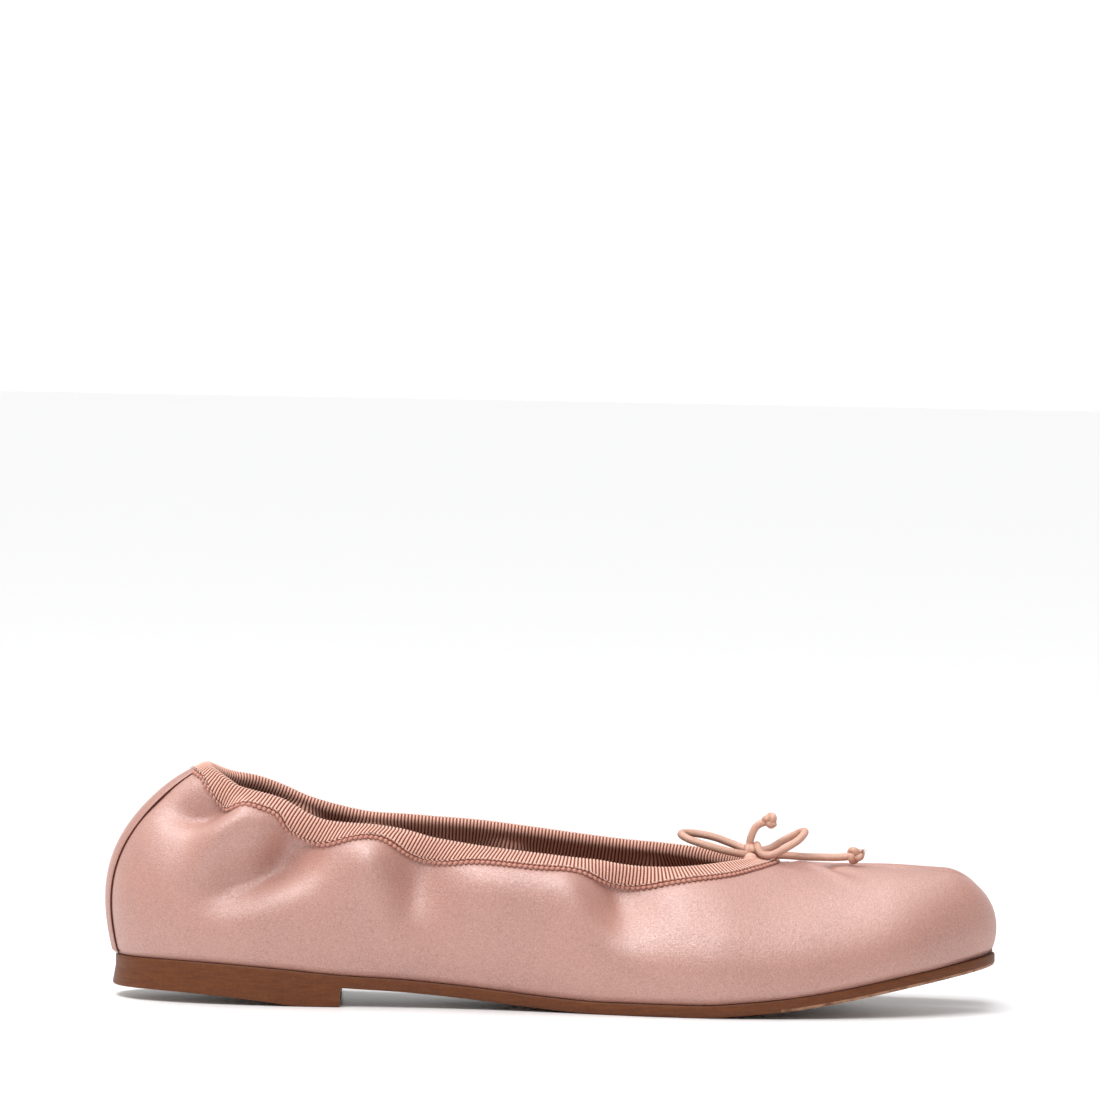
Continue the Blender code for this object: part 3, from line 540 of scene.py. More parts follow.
def dense(rows, count):
    """A smooth path through the rows, as count points evenly spaced along it."""
    fine = open_spline(rows, np.linspace(0, 1, 40 * len(rows)))
    along = distances(fine)
    at = np.linspace(0, along[-1], count)
    return np.stack([np.interp(at, along, fine[:, k]) for k in range(3)], axis=1)


def whole_turn(count):
    """Angles evenly spaced round a circle."""
    return np.linspace(0, 2 * np.pi, count, endpoint=False)


def sole_low(x):
    return line_height(SOLE_LINE, x)


def sole_top(x):
    return sole_low(x) + SOLE_THICK


# ---- the upper's outer face

def last_edge(row, inset=0.0):
    """Points of the last's edge in plan, moved in by inset, with their outward directions."""
    here = closed_spline(LAST_FIT, row)[..., :2]
    out = unit(to_right(closed_way(LAST_FIT, row, 0.02)))
    return here - out * inset, out


def top_line(name, share):
    """Points of a top line and the slopes at which the wall arrives there."""
    if name == "collar":
        row = closed_spline(COLLAR_FIT, share)
        return row[:, :3], np.radians(row[:, 3])
    rows = {"spine": SPINE, "outer": RIDGE_OUTER, "inner": RIDGE_INNER}[name]
    start = np.radians(COLLAR[THROAT][3])
    lean = start * (1 - share) if name == "spine" else 0.0 * share
    return open_spline(rows, share), lean


def collar_inward(share):
    """Directions in plan from the collar's edge towards the opening."""
    return -unit(to_right(closed_way(COLLAR_FIT, share, 0.05)))


def wall_controls(row, name, share):
    """The four control points of sections of the upper's outer face."""
    foot, out = last_edge(row)
    flare, rise, over = closed_spline(LAST_FIT, row)[:, 2:].T
    low = np.column_stack([foot, sole_top(foot[:, 0]) + GAP])
    high, lean = top_line(name, share)
    across = high[:, :2] - low[:, :2]
    reach = np.linalg.norm(across, axis=1)
    across = unit(across)
    if name in ("collar", "spine"):
        if name == "collar":
            inward, turn = collar_inward(share), 1 - ease(1 - np.abs(share - THROAT) / THROAT_ROWS) / 2
        else:
            inward, turn = collar_inward(0 * share + THROAT), ease(1 - share) / 2
        across = unit(inward * turn[:, None] + across * (1 - turn[:, None]))
        reach = np.maximum(((high[:, :2] - low[:, :2]) * across).sum(1), 0.0)
    height = high[:, 2] - low[:, 2]
    flare, lean = np.radians(flare)[:, None], lean[:, None]
    leave = np.column_stack([out * np.sin(flare), np.cos(flare)])
    arrive = np.column_stack([across * np.cos(lean), np.sin(lean)])
    along = reach[:, None] * np.cos(lean) + height[:, None] * np.sin(lean)
    return low, low + leave * (rise * height)[:, None], high - arrive * over[:, None] * along, high


def wall_points(controls, levels):
    """Points at levels, from 0 at the sole to 1 at the top, on every section."""
    v = np.asarray(levels)[None, :, None]
    u = 1 - v
    a, b, c, d = (points[:, None, :] for points in controls)
    return a * u ** 3 + b * 3 * u * u * v + c * 3 * u * v * v + d * v ** 3


def smooth_wall(levels):
    """The whole outer face before its creases, as points of sections by levels."""
    parts = []
    for first, last, name, start, end, count in PANELS:
        f = np.arange(count) / count
        if name == "collar":
            f = f - CROWDING * np.sin(2 * np.pi * f) / (2 * np.pi)
        row, share = first + (last - first) * f, start + (end - start) * f
        parts.append(wall_points(wall_controls(row, name, share), levels))
    return np.concatenate(parts)


def grid_faces(rows, columns, closed, around=False):
    """Quads of a grid; its last row joins the first where closed, and its columns where around."""
    i = np.arange(rows if closed else rows - 1)[:, None]
    j = np.arange(columns if around else columns - 1)[None, :]
    k, m = (i + 1) % rows, (j + 1) % columns
    quads = [i * columns + j, k * columns + j, k * columns + m, i * columns + m]
    return np.stack(quads, -1).reshape(-1, 4)


def tube_faces(rings, sides):
    """Quads of rings of points, from one ring to the next."""
    return grid_faces(rings, sides, False, True)[:, [0, 3, 2, 1]]


def grid_normals(points, faces):
    """Outward directions at the points of a grid, equal where points lie together."""
    flat = points.reshape(-1, 3)
    _, same = np.unique(np.round(flat, 4), axis=0, return_inverse=True)
    same = same.ravel()
    a, b, c, d = (flat[faces[:, k]] for k in range(4))
    face = np.cross(c - a, d - b)
    total = np.zeros((same.max() + 1, 3))
    for k in range(4):
        np.add.at(total, same[faces[:, k]], face)
    return unit(total)[same].reshape(points.shape)


def edge_distance(points):
    """For every point, its distance from the collar's edge and the place on it, as x and side."""
    shares = np.linspace(0, len(COLLAR), EDGE_POINTS, endpoint=False)
    edge = closed_spline(COLLAR_FIT, shares)[:, :3]
    tree = KDTree(len(edge))
    for i, p in enumerate(edge):
        tree.insert(p, i)
    tree.balance()
    found = [tree.find(p)[1:] for p in points.reshape(-1, 3)]
    index = np.array([f[0] for f in found])
    away = np.array([f[1] for f in found]).reshape(points.shape[:-1])
    return away, edge[index, 0].reshape(away.shape), (shares[index] < THROAT).reshape(away.shape)


def full_swell(x, outer):
    """The swell at its fullest, at x along the collar's outer or inner side."""
    return np.where(outer, line_height(SWELL_OUTER, x), line_height(SWELL_INNER, x))


def swell(away, x, outer):
    """How far the gathered ribbon lets the satin stand out, from what edge_distance gives."""
    rise = np.sin(np.pi / 2 * np.minimum(away / SWELL_AT, 1.0))
    fade = np.exp(-(np.maximum(away - SWELL_AT, 0) / SWELL_FADE) ** 2)
    return full_swell(x, outer) * rise * fade


def crease_line(places, given, found, facing, points):
    """A crease's dents: their places on the wall, their ways and their shares of its length.

    The crease gives their x and the measure on the given axis, and the wall the found one.
    """
    shares = np.linspace(0, 1, CREASE_POINTS)
    line = np.zeros((CREASE_POINTS, 3))
    line[:, [0, given]] = open_spline(places, shares)
    for place in line:
        gap = np.hypot(points[..., 0] - place[0], points[..., given] - place[given])
        place[found] = points.reshape(-1, 3)[np.argmin(gap + FAR * ~facing), found]
    padded = np.pad(line[:, found], CREASE_EVENED // 2, mode="reflect", reflect_type="odd")
    line[:, found] = np.convolve(padded, np.ones(CREASE_EVENED) / CREASE_EVENED, "valid")
    return line, unit(np.gradient(line[:, [0, 2]], axis=0)), shares


def crease_depth(points, normals):
    """How far the creases push every point in: each is a row of soft dents that run together."""
    total = np.zeros(points.shape[:-1])
    for side, depth, toe_reach, heel_reach, places in CREASES:
        axis, sign = {"outer": (1, -1), "inner": (1, 1), "top": (2, 1)}[side]
        facing = normals[..., axis] * sign > 0
        row = np.zeros(total.shape)
        for place, way, share in zip(*crease_line(places, 3 - axis, axis, facing, points)):
            off = points - place
            away = np.linalg.norm(off, axis=-1)
            turn = (way[0] * off[..., 2] - way[1] * off[..., 0]) / np.maximum(away, 1e-6)
            f = away / (heel_reach + (toe_reach - heel_reach) * ease((turn + 1) / 2))
            ends = ease(share / 0.25 + 0.6) * ease((1 - share) / 0.5)
            row += ends * (1 - RIDGE_SHARE * f * f) * np.exp(-f * f)
        total += depth * row / row.max()
    return total


def smooth_noise(points, size, seed):
    """Soft unevenness from -1 to 1 over lengths of about size."""
    r = np.random.default_rng(seed)
    total = np.zeros(points.shape[:-1])
    for _ in range(NOISE_WAVES):
        way = unit(r.normal(size=3)) / size * r.uniform(0.6, 1.5)
        total += np.sin(2 * np.pi * (points @ way) + r.uniform(0, 2 * np.pi))
    return total / NOISE_WAVES ** 0.5


def creased(points, normals):
    """The outer face with its swells, creases, slight unevenness and the tuck at its foot."""
    height = points[..., 2] - points[:, :1, 2]
    low = ease(height / CREASE_HIGH)
    near = edge_distance(points)
    away = swell(*near) - crease_depth(points, normals) * low * ease(near[0] / CREASE_CLEAR)
    away = away + UNEVEN * smooth_noise(points, UNEVEN_SIZE, 3) * low
    away = away - FOOT_TUCK * (1 - ease(height / FOOT_HIGH))
    return points + normals * away[..., None]


def softened(points):
    """The outer face with the folds where its strips of wall meet spread out."""
    counts = np.cumsum([0] + [panel[5] for panel in PANELS])
    index = np.arange(len(points))
    levels = np.linspace(0, 1, points.shape[1])
    free = ease(levels / SOFT_FOOT) * ease((1 - levels) / SOFT_HELD)
    for seam, sections, rounds in SOFT_SEAMS:
        near = ease(1 - np.abs(index - counts[seam]) / sections)[:, None] * free
        for _ in range(rounds):
            middle = (np.roll(points, 1, 0) + np.roll(points, -1, 0)) / 2
            points = points + (middle - points) * near[..., None]
    return points


# ---- meshes

def placed(points):
    """Points of the last's tables, in metres, in the shoe's own frame."""
    return (np.asarray(points, float) + (SHIFT[0], SHIFT[1], 0.0)) * MM


def shown(name, data):
    """A new object in the scene."""
    made = bpy.data.objects.new(name, data)
    bpy.context.scene.collection.objects.link(made)
    return made


def mesh_object(name, points, faces, finishes, finish_of=None, weld=0.00001, uv=None, **attributes):
    """A shown piece from grids of points in millimetres.

    Its faces number the points on through all the grids. uv is a pair for every corner, and
    each of attributes is a float for every point.
    """
    mesh = bpy.data.meshes.new(name)
    points = np.concatenate([grid.reshape(-1, 3) for grid in points])
    mesh.from_pydata(placed(points), [], [tuple(f) for f in faces])
    for finish in finishes:
        mesh.materials.append(finish)
    if finish_of is not None:
        mesh.polygons.foreach_set("material_index", np.asarray(finish_of, np.int32))
    for key, values in attributes.items():
        layer = mesh.attributes.new(key, "FLOAT", "POINT")
        layer.data.foreach_set("value", values.astype(np.float32).ravel())
    if uv is not None:
        mesh.uv_layers.new(name="cord").data.foreach_set("uv", uv.astype(np.float32).ravel())
    work = bmesh.new()
    work.from_mesh(mesh)
    bmesh.ops.remove_doubles(work, verts=work.verts, dist=weld)
    work.to_mesh(mesh)
    work.free()
    mesh.shade_smooth()
    return shown(name, mesh)


def stands_for(piece, slot, *nodes):
    """The piece rides on the root body and hides the CAD nodes it replaces; slot is not used."""
    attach(piece, "root")
    if nodes:
        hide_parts(*nodes)


def tube(name, path, radius, sides, finish):
    """Round tube along a path in millimetres, with a UV map: u round it, v along it in millimetres."""
    path = np.asarray(path, float)
    way = unit(np.gradient(path, axis=0))
    side = unit(np.cross(way[0], (0.0, 0.0, 1.0) if abs(way[0][2]) < 0.9 else (0.0, 1.0, 0.0)))
    angle = whole_turn(sides)[:, None]
    rings = [np.repeat(path[:1], sides, 0)]
    for here, ahead in zip(path, way):
        side = unit(side - ahead * (side @ ahead))
        rings.append(here + radius * (np.cos(angle) * side + np.sin(angle) * np.cross(ahead, side)))
    rings.append(np.repeat(path[-1:], sides, 0))
    along = distances(path)[[0, *range(len(path)), -1]]
    j = np.arange(sides)
    u = np.broadcast_to(np.stack([j, j + 1, j + 1, j], -1) / sides, (len(rings) - 1, sides, 4))
    v = np.stack([along[:-1], along[:-1], along[1:], along[1:]], -1)[:, None]
    uv = np.stack([u, np.broadcast_to(v, u.shape)], -1)
    return mesh_object(name, rings, tube_faces(len(rings), sides), [finish], weld=0.000001, uv=uv)


def joined(name, parts):
    """Several objects as one."""
    with bpy.context.temp_override(active_object=parts[0], selected_editable_objects=parts):
        bpy.ops.object.join()
    parts[0].name = name
    parts[0].data.name = name
    return parts[0]


# ---- camera

def make_camera():
    down, roll = np.radians(CAMERA_DOWN), np.radians(CAMERA_ROLL)
    forward = np.array([0.0, np.cos(down), -np.sin(down)])
    right = np.array([1.0, 0.0, 0.0])
    up = np.cross(right, forward)
    axes = np.column_stack([
        right * np.cos(roll) + up * np.sin(roll), -right * np.sin(roll) + up * np.cos(roll), -forward])
    camera = shown("camera", bpy.data.cameras.new("camera"))
    camera.data.lens = CAMERA_LENS
    camera.data.sensor_width = CAMERA_SENSOR
    camera.data.clip_end = CAMERA_FAR
    camera.matrix_world = Matrix.Translation(placed(CAMERA_PLACE)) @ Matrix(axes.tolist()).to_4x4()
    bpy.context.scene.camera = camera


# ---- materials

def node(tree, kind, **values):
    """A node whose settings and input values are given by name."""
    made = tree.nodes.new("ShaderNode" + kind)
    for key, value in values.items():
        socket = key.replace("_", " ")
        if socket in made.inputs:
            made.inputs[socket].default_value = value
        else:
            setattr(made, key, value)
    return made


def object_place(tree):
    return node(tree, "TexCoord").outputs["Object"]


def scaled(tree, place, scale):
    """Places scaled along their axes."""
    made = node(tree, "Mapping", Scale=scale)
    tree.links.new(place, made.inputs["Vector"])
    return made.outputs["Vector"]


def noise(tree, size, detail=2.0, squeeze=(1.0, 1.0, 1.0)):
    """Noise whose blots are about size millimetres across, and less along a squeezed axis."""
    made = node(tree, "TexNoise", Scale=1.0 / (size * MM), Detail=detail)
    tree.links.new(scaled(tree, object_place(tree), squeeze), made.inputs["Vector"])
    return made.outputs["Fac"]


def pores(tree):
    """0 in the lines between the small cells of smooth leather and 1 inside them."""
    cells = node(tree, "TexVoronoi", feature="DISTANCE_TO_EDGE", Scale=1.0 / (0.8 * MM))
    tree.links.new(object_place(tree), cells.inputs["Vector"])
    return ranged(tree, cells.outputs["Distance"], 0.0, 0.25)


def threads(tree):
    """Fine satin threads along a cord, with a slight twist."""
    made = node(
        tree, "TexWave", wave_type="BANDS", bands_direction="DIAGONAL", wave_profile="SIN",
        Scale=1.2, Distortion=1.5)
    uv = node(tree, "UVMap", uv_map="cord").outputs["UV"]
    tree.links.new(scaled(tree, uv, (14.0, 0.9, 1.0)), made.inputs["Vector"])
    return made.outputs["Fac"]


def held(tree, name):
    """The number that the mesh holds under this name at every point."""
    return node(tree, "Attribute", attribute_name=name).outputs["Fac"]


def blend_colour(tree, factor, first, second):
    """first where factor is 0 and second where it is 1; each is a colour or a socket."""
    made = node(tree, "Mix", data_type="RGBA")
    for socket, value in ((made.inputs[6], first), (made.inputs[7], second)):
        if isinstance(value, tuple):
            socket.default_value = (*value, 1.0)
        else:
            tree.links.new(value, socket)
    tree.links.new(factor, made.inputs[0])
    return made.outputs[2]


def ranged(tree, value, low, high, to_low=0.0, to_high=1.0):
    """value between low and high, spread to the other two."""
    made = node(tree, "MapRange")
    ends = {"From Min": low, "From Max": high, "To Min": to_low, "To Max": to_high}
    for socket, number in ends.items():
        made.inputs[socket].default_value = number
    tree.links.new(value, made.inputs["Value"])
    return made.outputs["Result"]


def layered(look, name, roughness, sources, tones, bumps=(), gloss=None, **sockets):
    """Adds to look a material whose colour, roughness and bumps follow numbers over the surface.

    sources: by name, the function that makes each of those numbers, and its settings.
    tones: a first colour, then rows of source, its range, how much colour shows at both ends
    of that where it is not none and all, and colour. bumps: rows of source and depth in
    millimetres. gloss: source, its range and the roughness at both ends of it.
    """
    made = look[name] = bpy.data.materials.new(name)
    made.use_nodes = True
    tree = made.node_tree
    shader = tree.nodes["Principled BSDF"]
    for key, value in dict(sockets, Roughness=roughness).items():
        shader.inputs[key.replace("_", " ")].default_value = value
    numbers = {key: make(tree, *settings) for key, (make, *settings) in sources.items()}
    colour = tones[0]
    for key, *spread, over in tones[1:]:
        colour = blend_colour(tree, ranged(tree, numbers[key], *spread), colour, over)
    tree.links.new(colour, shader.inputs["Base Color"])
    if gloss is not None:
        tree.links.new(ranged(tree, numbers[gloss[0]], *gloss[1:]), shader.inputs["Roughness"])
    socket = shader.inputs["Normal"]
    for key, depth in reversed(bumps):
        bump = node(tree, "Bump", Distance=depth * MM, Strength=1.0)
        tree.links.new(numbers[key], bump.inputs["Height"])
        tree.links.new(bump.outputs["Normal"], socket)
        socket = bump.inputs["Normal"]


def add_satin(look, name, deep, middle, pale, gloss):
    """Satin: a fine broken grain, soft clouds of tone and a broad dull sheen."""
    layered(
        look, name, 0.6, {"grain": (noise, 0.42, 3.0), "blots": (noise, 1.3), "cloud": (noise, 14.0)},
        (deep, ("cloud", 0.35, 0.65, middle), ("blots", 0.35, 0.65, 0.0, 0.4, deep),
         ("grain", 0.32, 0.68, pale)),
        (("grain", 0.13), ("blots", 0.08)), ("grain", 0.3, 0.7, 0.70, 0.52), IOR=1.95,
        Specular_IOR_Level=gloss, Sheen_Weight=0.25, Sheen_Roughness=0.5,
        Sheen_Tint=(1.0, 0.92, 0.90, 1.0))


def add_thread(look, name, deep, pale):
    layered(
        look, name, 0.45, {"grain": (noise, 0.2)}, (deep, ("grain", 0.0, 1.0, pale)),
        (("grain", 0.03),), Sheen_Weight=0.3)


def make_finishes():
    """Every material, by name."""
    look = {}
    add_satin(look, "satin", SATIN_DEEP, SATIN, SATIN_PALE, 1.0)
    # a copy of the satin darkened with painted shade, for the back strip
    add_satin(look, "strip_satin_shaded", STRIP_SHADED_DEEP, STRIP_SHADED_PINK, STRIP_SHADED_PALE, 0.8)
    add_thread(look, "thread", THREAD_DEEP, THREAD_PALE)
    add_thread(look, "tack_thread", SATIN_DEEP, SATIN_PALE)
    # The strip's turned edge and outermost columns: painted shade, much darker than the satin.
    layered(
        look, "turned_edge_shade", 0.7, {"grain": (noise, 0.5, 3.0)},
        (FOLD_SHADE_DEEP, ("grain", 0.0, 1.0, FOLD_SHADE_PINK)), (("grain", 0.05),), Specular_IOR_Level=0.15)
    # ribbon: where its gap attribute is high the colour runs to near black red, painted shade between ribs
    # and loops and on its hidden back
    layered(
        look, "ribbon", 0.55, {"gap": (held, "gap"), "grain": (noise, 0.35), "edge": (held, "edge")},
        (RIB_PALE, ("gap", 0.12, 0.62, RIB_GAP_SHADE), ("grain", 0.35, 0.75, 0.0, 0.35, RIBBON_PINK),
         ("edge", 0.0, 1.0, 0.0, 0.75, EDGE_PINK)),
        (("grain", 0.05),), Specular_IOR_Level=0.12, Sheen_Weight=0.15, Sheen_Roughness=0.5)
    layered(
        look, "cord", 0.42, {"threads": (threads,), "grain": (noise, 0.3)},
        (CORD_PALE, ("threads", 0.1, 0.9, 0.0, 0.5, CORD_DEEP),
         ("grain", 0.4, 0.7, 0.0, 0.4, CORD_DEEP)),
        (("threads", 0.04), ("grain", 0.04)), IOR=1.6, Specular_IOR_Level=0.7)
    # Painted leather edge, a little uneven.
    layered(
        look, "sole_leather", 0.5,
        {"grain": (noise, 0.6, 4.0), "streak": (noise, 5.0, 3.0, (1.0, 1.0, 8.0))},
        (SOLE_DEEP, ("streak", 0.3, 0.7, SOLE_BROWN), ("grain", 0.45, 0.75, 0.0, 0.5, SOLE_TAN)),
        (("grain", 0.05), ("streak", 0.06)), ("grain", 0.3, 0.7, 0.42, 0.62),
        Specular_IOR_Level=0.22)
    # The sole's lower corner: a painted highlight, paler in blots, for light bounced up from the floor.
    layered(
        look, "rim_highlight_leather", 0.6, {"wear": (noise, 3.0, 4.0), "grain": (noise, 0.4, 3.0)},
        (RIM_HIGHLIGHT_DEEP, ("wear", 0.35, 0.6, RIM_HIGHLIGHT_TAN)), (("grain", 0.04),), Specular_IOR_Level=0.3)
    # The sole's tread face: plain split leather.
    layered(
        look, "under_leather", 0.75, {"grain": (noise, 0.5, 5.0), "cloud": (noise, 16.0, 3.0)},
        (UNDER_DEEP, ("cloud", 0.3, 0.7, UNDER_TAN), ("grain", 0.4, 0.7, 0.0, 0.5, UNDER_DEEP)),
        (("grain", 0.08),))
    layered(
        look, "lining_leather", 0.6, {"pores": (pores,), "cloud": (noise, 12.0, 3.0)},
        (LINING_DEEP, ("cloud", 0.3, 0.7, LINING_TAN), ("pores", 0.0, 1.0, 0.4, 0.0, LINING_DEEP)),
        (("pores", 0.04), ("cloud", 0.1)))
    layered(
        look, "floor", 0.3, {"cloud": (noise, 60.0)}, (FLOOR, ("cloud", 0.0, 1.0, FLOOR_OTHER)),
        Specular_IOR_Level=0.5)
    return look


# ---- the upper

def make_upper(outer, normals, finishes):
    """Satin and lining as one closed shell, open at the collar and underneath."""
    sections = len(outer)
    picks = np.round(np.linspace(0, LEVELS - 1, LINING_LEVELS)).astype(int)
    inner = outer[:, picks] - normals[:, picks] * WALL
    lobes = inner[..., 0] > CLEFT_FROM
    inner[..., 2] = np.where(lobes, np.minimum(inner[..., 2], LINING_TOP), inner[..., 2])
    outer = outer.copy()
    outer[:, 0, 2] = sole_top(outer[:, 0, 0]) + FOOT_GAP
    inner[:, 0, 2] = sole_top(inner[:, 0, 0]) + FOOT_GAP / 2
    base = sections * LEVELS
    outer_faces = grid_faces(sections, LEVELS, True)
    inner_faces = grid_faces(sections, LINING_LEVELS, True)[:, ::-1] + base
    i = np.arange(sections)
    k = (i + 1) % sections
    foot = np.stack([k * LEVELS, i * LEVELS, base + i * LINING_LEVELS, base + k * LINING_LEVELS], -1)
    i = np.concatenate([np.arange(PANELS[0][5]), np.arange(sections - PANELS[-1][5], sections)]) + 1
    k = i % sections + 1
    edge = np.stack([
        i * LEVELS - 1, k * LEVELS - 1, base + k * LINING_LEVELS - 1, base + i * LINING_LEVELS - 1], -1)
    faces = np.concatenate([outer_faces, inner_faces, foot, edge])
    finish_of = np.zeros(len(faces))
    finish_of[len(outer_faces):len(outer_faces) + len(inner_faces)] = 1
    upper = mesh_object("upper_satin", [outer, inner], faces, finishes, finish_of, weld=0.00002)
    stands_for(upper, "satin", "upper")


def make_back_strip(finishes):
    """Satin strip with turned edges over the back seam."""
    across = np.sin(np.linspace(-np.pi / 2, np.pi / 2, STRIP_COLUMNS))
    levels = np.linspace(STRIP_FROM, STRIP_TO, STRIP_LEVELS)
    skin = wall_points(wall_controls(across * STRIP_ROWS, "collar", across * STRIP_ROWS), levels)
    faces = grid_faces(STRIP_COLUMNS, STRIP_LEVELS, False)
    normals = grid_normals(skin, faces)
    skin = skin + normals * swell(*edge_distance(skin))[..., None]
    edge = (1 - np.abs(across) ** 6) ** 0.5
    ends = np.minimum(1, np.minimum(levels - levels[0], levels[-1] - levels) / STRIP_END) ** 0.5
    seam = STRIP_SEAM * np.exp(-((np.abs(across) - SEAM_AT) / SEAM_WIDE) ** 2)
    under = 1 - STRIP_THIN * ease((levels - STRIP_TO + STRIP_TAPER) / STRIP_TAPER * 1.6)
    thick = (STRIP_THICK * edge[:, None] * ends[None, :] - seam[:, None]) * under[None, :]
    top = skin + normals * (STRIP_LEAST + thick)[..., None]
    low = skin + normals * STRIP_LOW
    for face in (top, low):
        face[:, 0, 2] = sole_top(face[:, 0, 0]) + FOOT_GAP
    grid = np.arange(STRIP_COLUMNS * STRIP_LEVELS).reshape(STRIP_COLUMNS, STRIP_LEVELS)
    rim = np.concatenate([grid[0], grid[1:, -1], grid[-1, -2::-1], grid[-2:0:-1, 0]])
    after = np.roll(rim, -1)
    sides = np.stack([rim, after, after + grid.size, rim + grid.size], -1)
    column = np.arange(len(faces)) // (STRIP_LEVELS - 1)
    faces = np.concatenate([faces, faces[:, ::-1] + grid.size, sides])
    finish_of = np.zeros(len(faces))
    # the strip's outermost columns and its sides take the painted shade of the turned edge
    finish_of[:len(column)] = (column < 3) | (column > STRIP_COLUMNS - 5)
    finish_of[-len(sides):] = 1
    strip = mesh_object("back_strip_satin", [top, low], faces, finishes, finish_of)
    stands_for(strip, "satin", "back_strip")


# ---- the collar ribbon

def wall_below(surface, edge, along, down):
    """The wall's points at steps down from the edge, in the plane across the edge."""
    found = [edge]
    way = down
    for _ in range(LEG_STEPS):
        ahead = found[-1] + way * LEG_STEP
        for _ in range(2):
            near = np.array(surface.find_nearest(Vector(ahead))[0])
            ahead = near - along * ((near - edge) @ along)
        way = unit(ahead - found[-1])
        found.append(found[-1] + way * LEG_STEP)
    return found


class Ribbon:
    """The wall just below the collar's edge, unrolled: read by place along it and down it."""

    def __init__(self, surface):
        fine = np.linspace(0, len(COLLAR), COLLAR_STEPS + 1)
        length = distances(closed_spline(COLLAR_FIT, fine)[:, :3])
        self.long = length[-1]
        shares = np.interp(np.arange(FRAMES) / FRAMES * self.long, length, fine)
        row = closed_spline(COLLAR_FIT, shares)
        along = unit(closed_way(COLLAR_FIT, shares, 0.05)[:, :3])
        out = unit(np.column_stack([to_right(along), 0 * along[:, 0]]))
        lean = np.radians(row[:, 3])[:, None]
        down = out * np.cos(lean) - np.array([0, 0, 1]) * np.sin(lean)
        down = unit(down - along * (down * along).sum(1, keepdims=True))
        wall = [wall_below(surface, e, a, d) for e, a, d in zip(row[:, :3], along, down)]
        self.points = self.evened(np.array(wall))
        up = -np.gradient(self.points, axis=1)
        across = np.roll(self.points, -1, 0) - np.roll(self.points, 1, 0)
        self.normals = self.evened(unit(np.cross(across, up)))
        self.up = unit(up[:, 0])
        self.outer = (shares < THROAT).astype(float)

    @staticmethod
    def evened(values):
        """Values averaged with their neighbours along the collar."""
        weights = np.exp(-0.5 * (np.arange(-4, 5) / 1.6) ** 2)
        weights = weights / weights.sum()
        return sum(w * np.roll(values, k - 4, 0) for k, w in enumerate(weights))

    def around(self, values, place):
        """Values read at places in millimetres along the collar."""
        at = np.asarray(place) / self.long * FRAMES
        i = np.floor(at).astype(int)
        f = (at - i).reshape(at.shape + (1,) * (values.ndim - 1))
        return between(*(values[(i + k) % FRAMES] for k in (-1, 0, 1, 2)), f)

    def side(self, place):
        """x at places along the collar, and whether they are on the outer side."""
        return self.around(self.points[:, 0, 0], place), self.around(self.outer, place) > 0.5

    def lengths(self, place):
        """Lengths of the two legs, rise of the fold over the edge and lift off the satin."""
        x, outer = self.side(place)
        full = np.maximum(full_swell(x, outer), 0)
        heel = np.minimum(place, self.long - place)
        leg = RIBBON_OUT - LEG_SHARE * full - np.interp(heel, *np.array(HEEL_SHORT).T)
        leg = leg - np.interp(self.long / 2 - heel, *np.array(THROAT_SHORT).T)
        leg = leg - np.where(outer, line_height(LEG_SHORT, x), 0.0)
        lift = CHANNEL * ease((x - CHANNEL_FROM) / CHANNEL_GROWS)
        rise = RIBBON_GAP + RIBBON + FOLD_CLEAR + FOLD_SHARE * full + lift / 2
        return leg, RIBBON_IN + RIBBON_OUT - leg, rise, lift

    def leg(self, place, down, height):
        """Points at places along, distances down the wall and heights off its outer face."""
        points, normals = self.around(self.points, place), self.around(self.normals, place)
        at = np.clip(down / LEG_STEP, 0, LEG_STEPS - 0.001)
        i = at.astype(int)
        f = (at - i)[:, None]
        n = np.arange(len(i))
        here = points[n, i] * (1 - f) + points[n, i + 1] * f
        normal = unit(normals[n, i] * (1 - f) + normals[n, i + 1] * f)
        return here + normal * np.asarray(height)[..., None]

    def fold(self, place, angle, outer, inner, rise):
        """Points on an arc over the edge, from the outer height at 0 to the inner height at pi."""
        edge, normal = self.around(self.points, place)[:, 0], unit(self.around(self.normals, place)[:, 0])
        up = unit(self.around(self.up, place))
        off = (outer + inner) / 2 + (outer - inner) / 2 * np.cos(angle)
        return edge + normal * off[:, None] + up * (rise * np.sin(angle))[:, None]


def rib_phase(place, count, long):
    """0 in the gap between two ribs and 1 on the crest."""
    return np.abs(np.sin(np.pi * place * count / long))


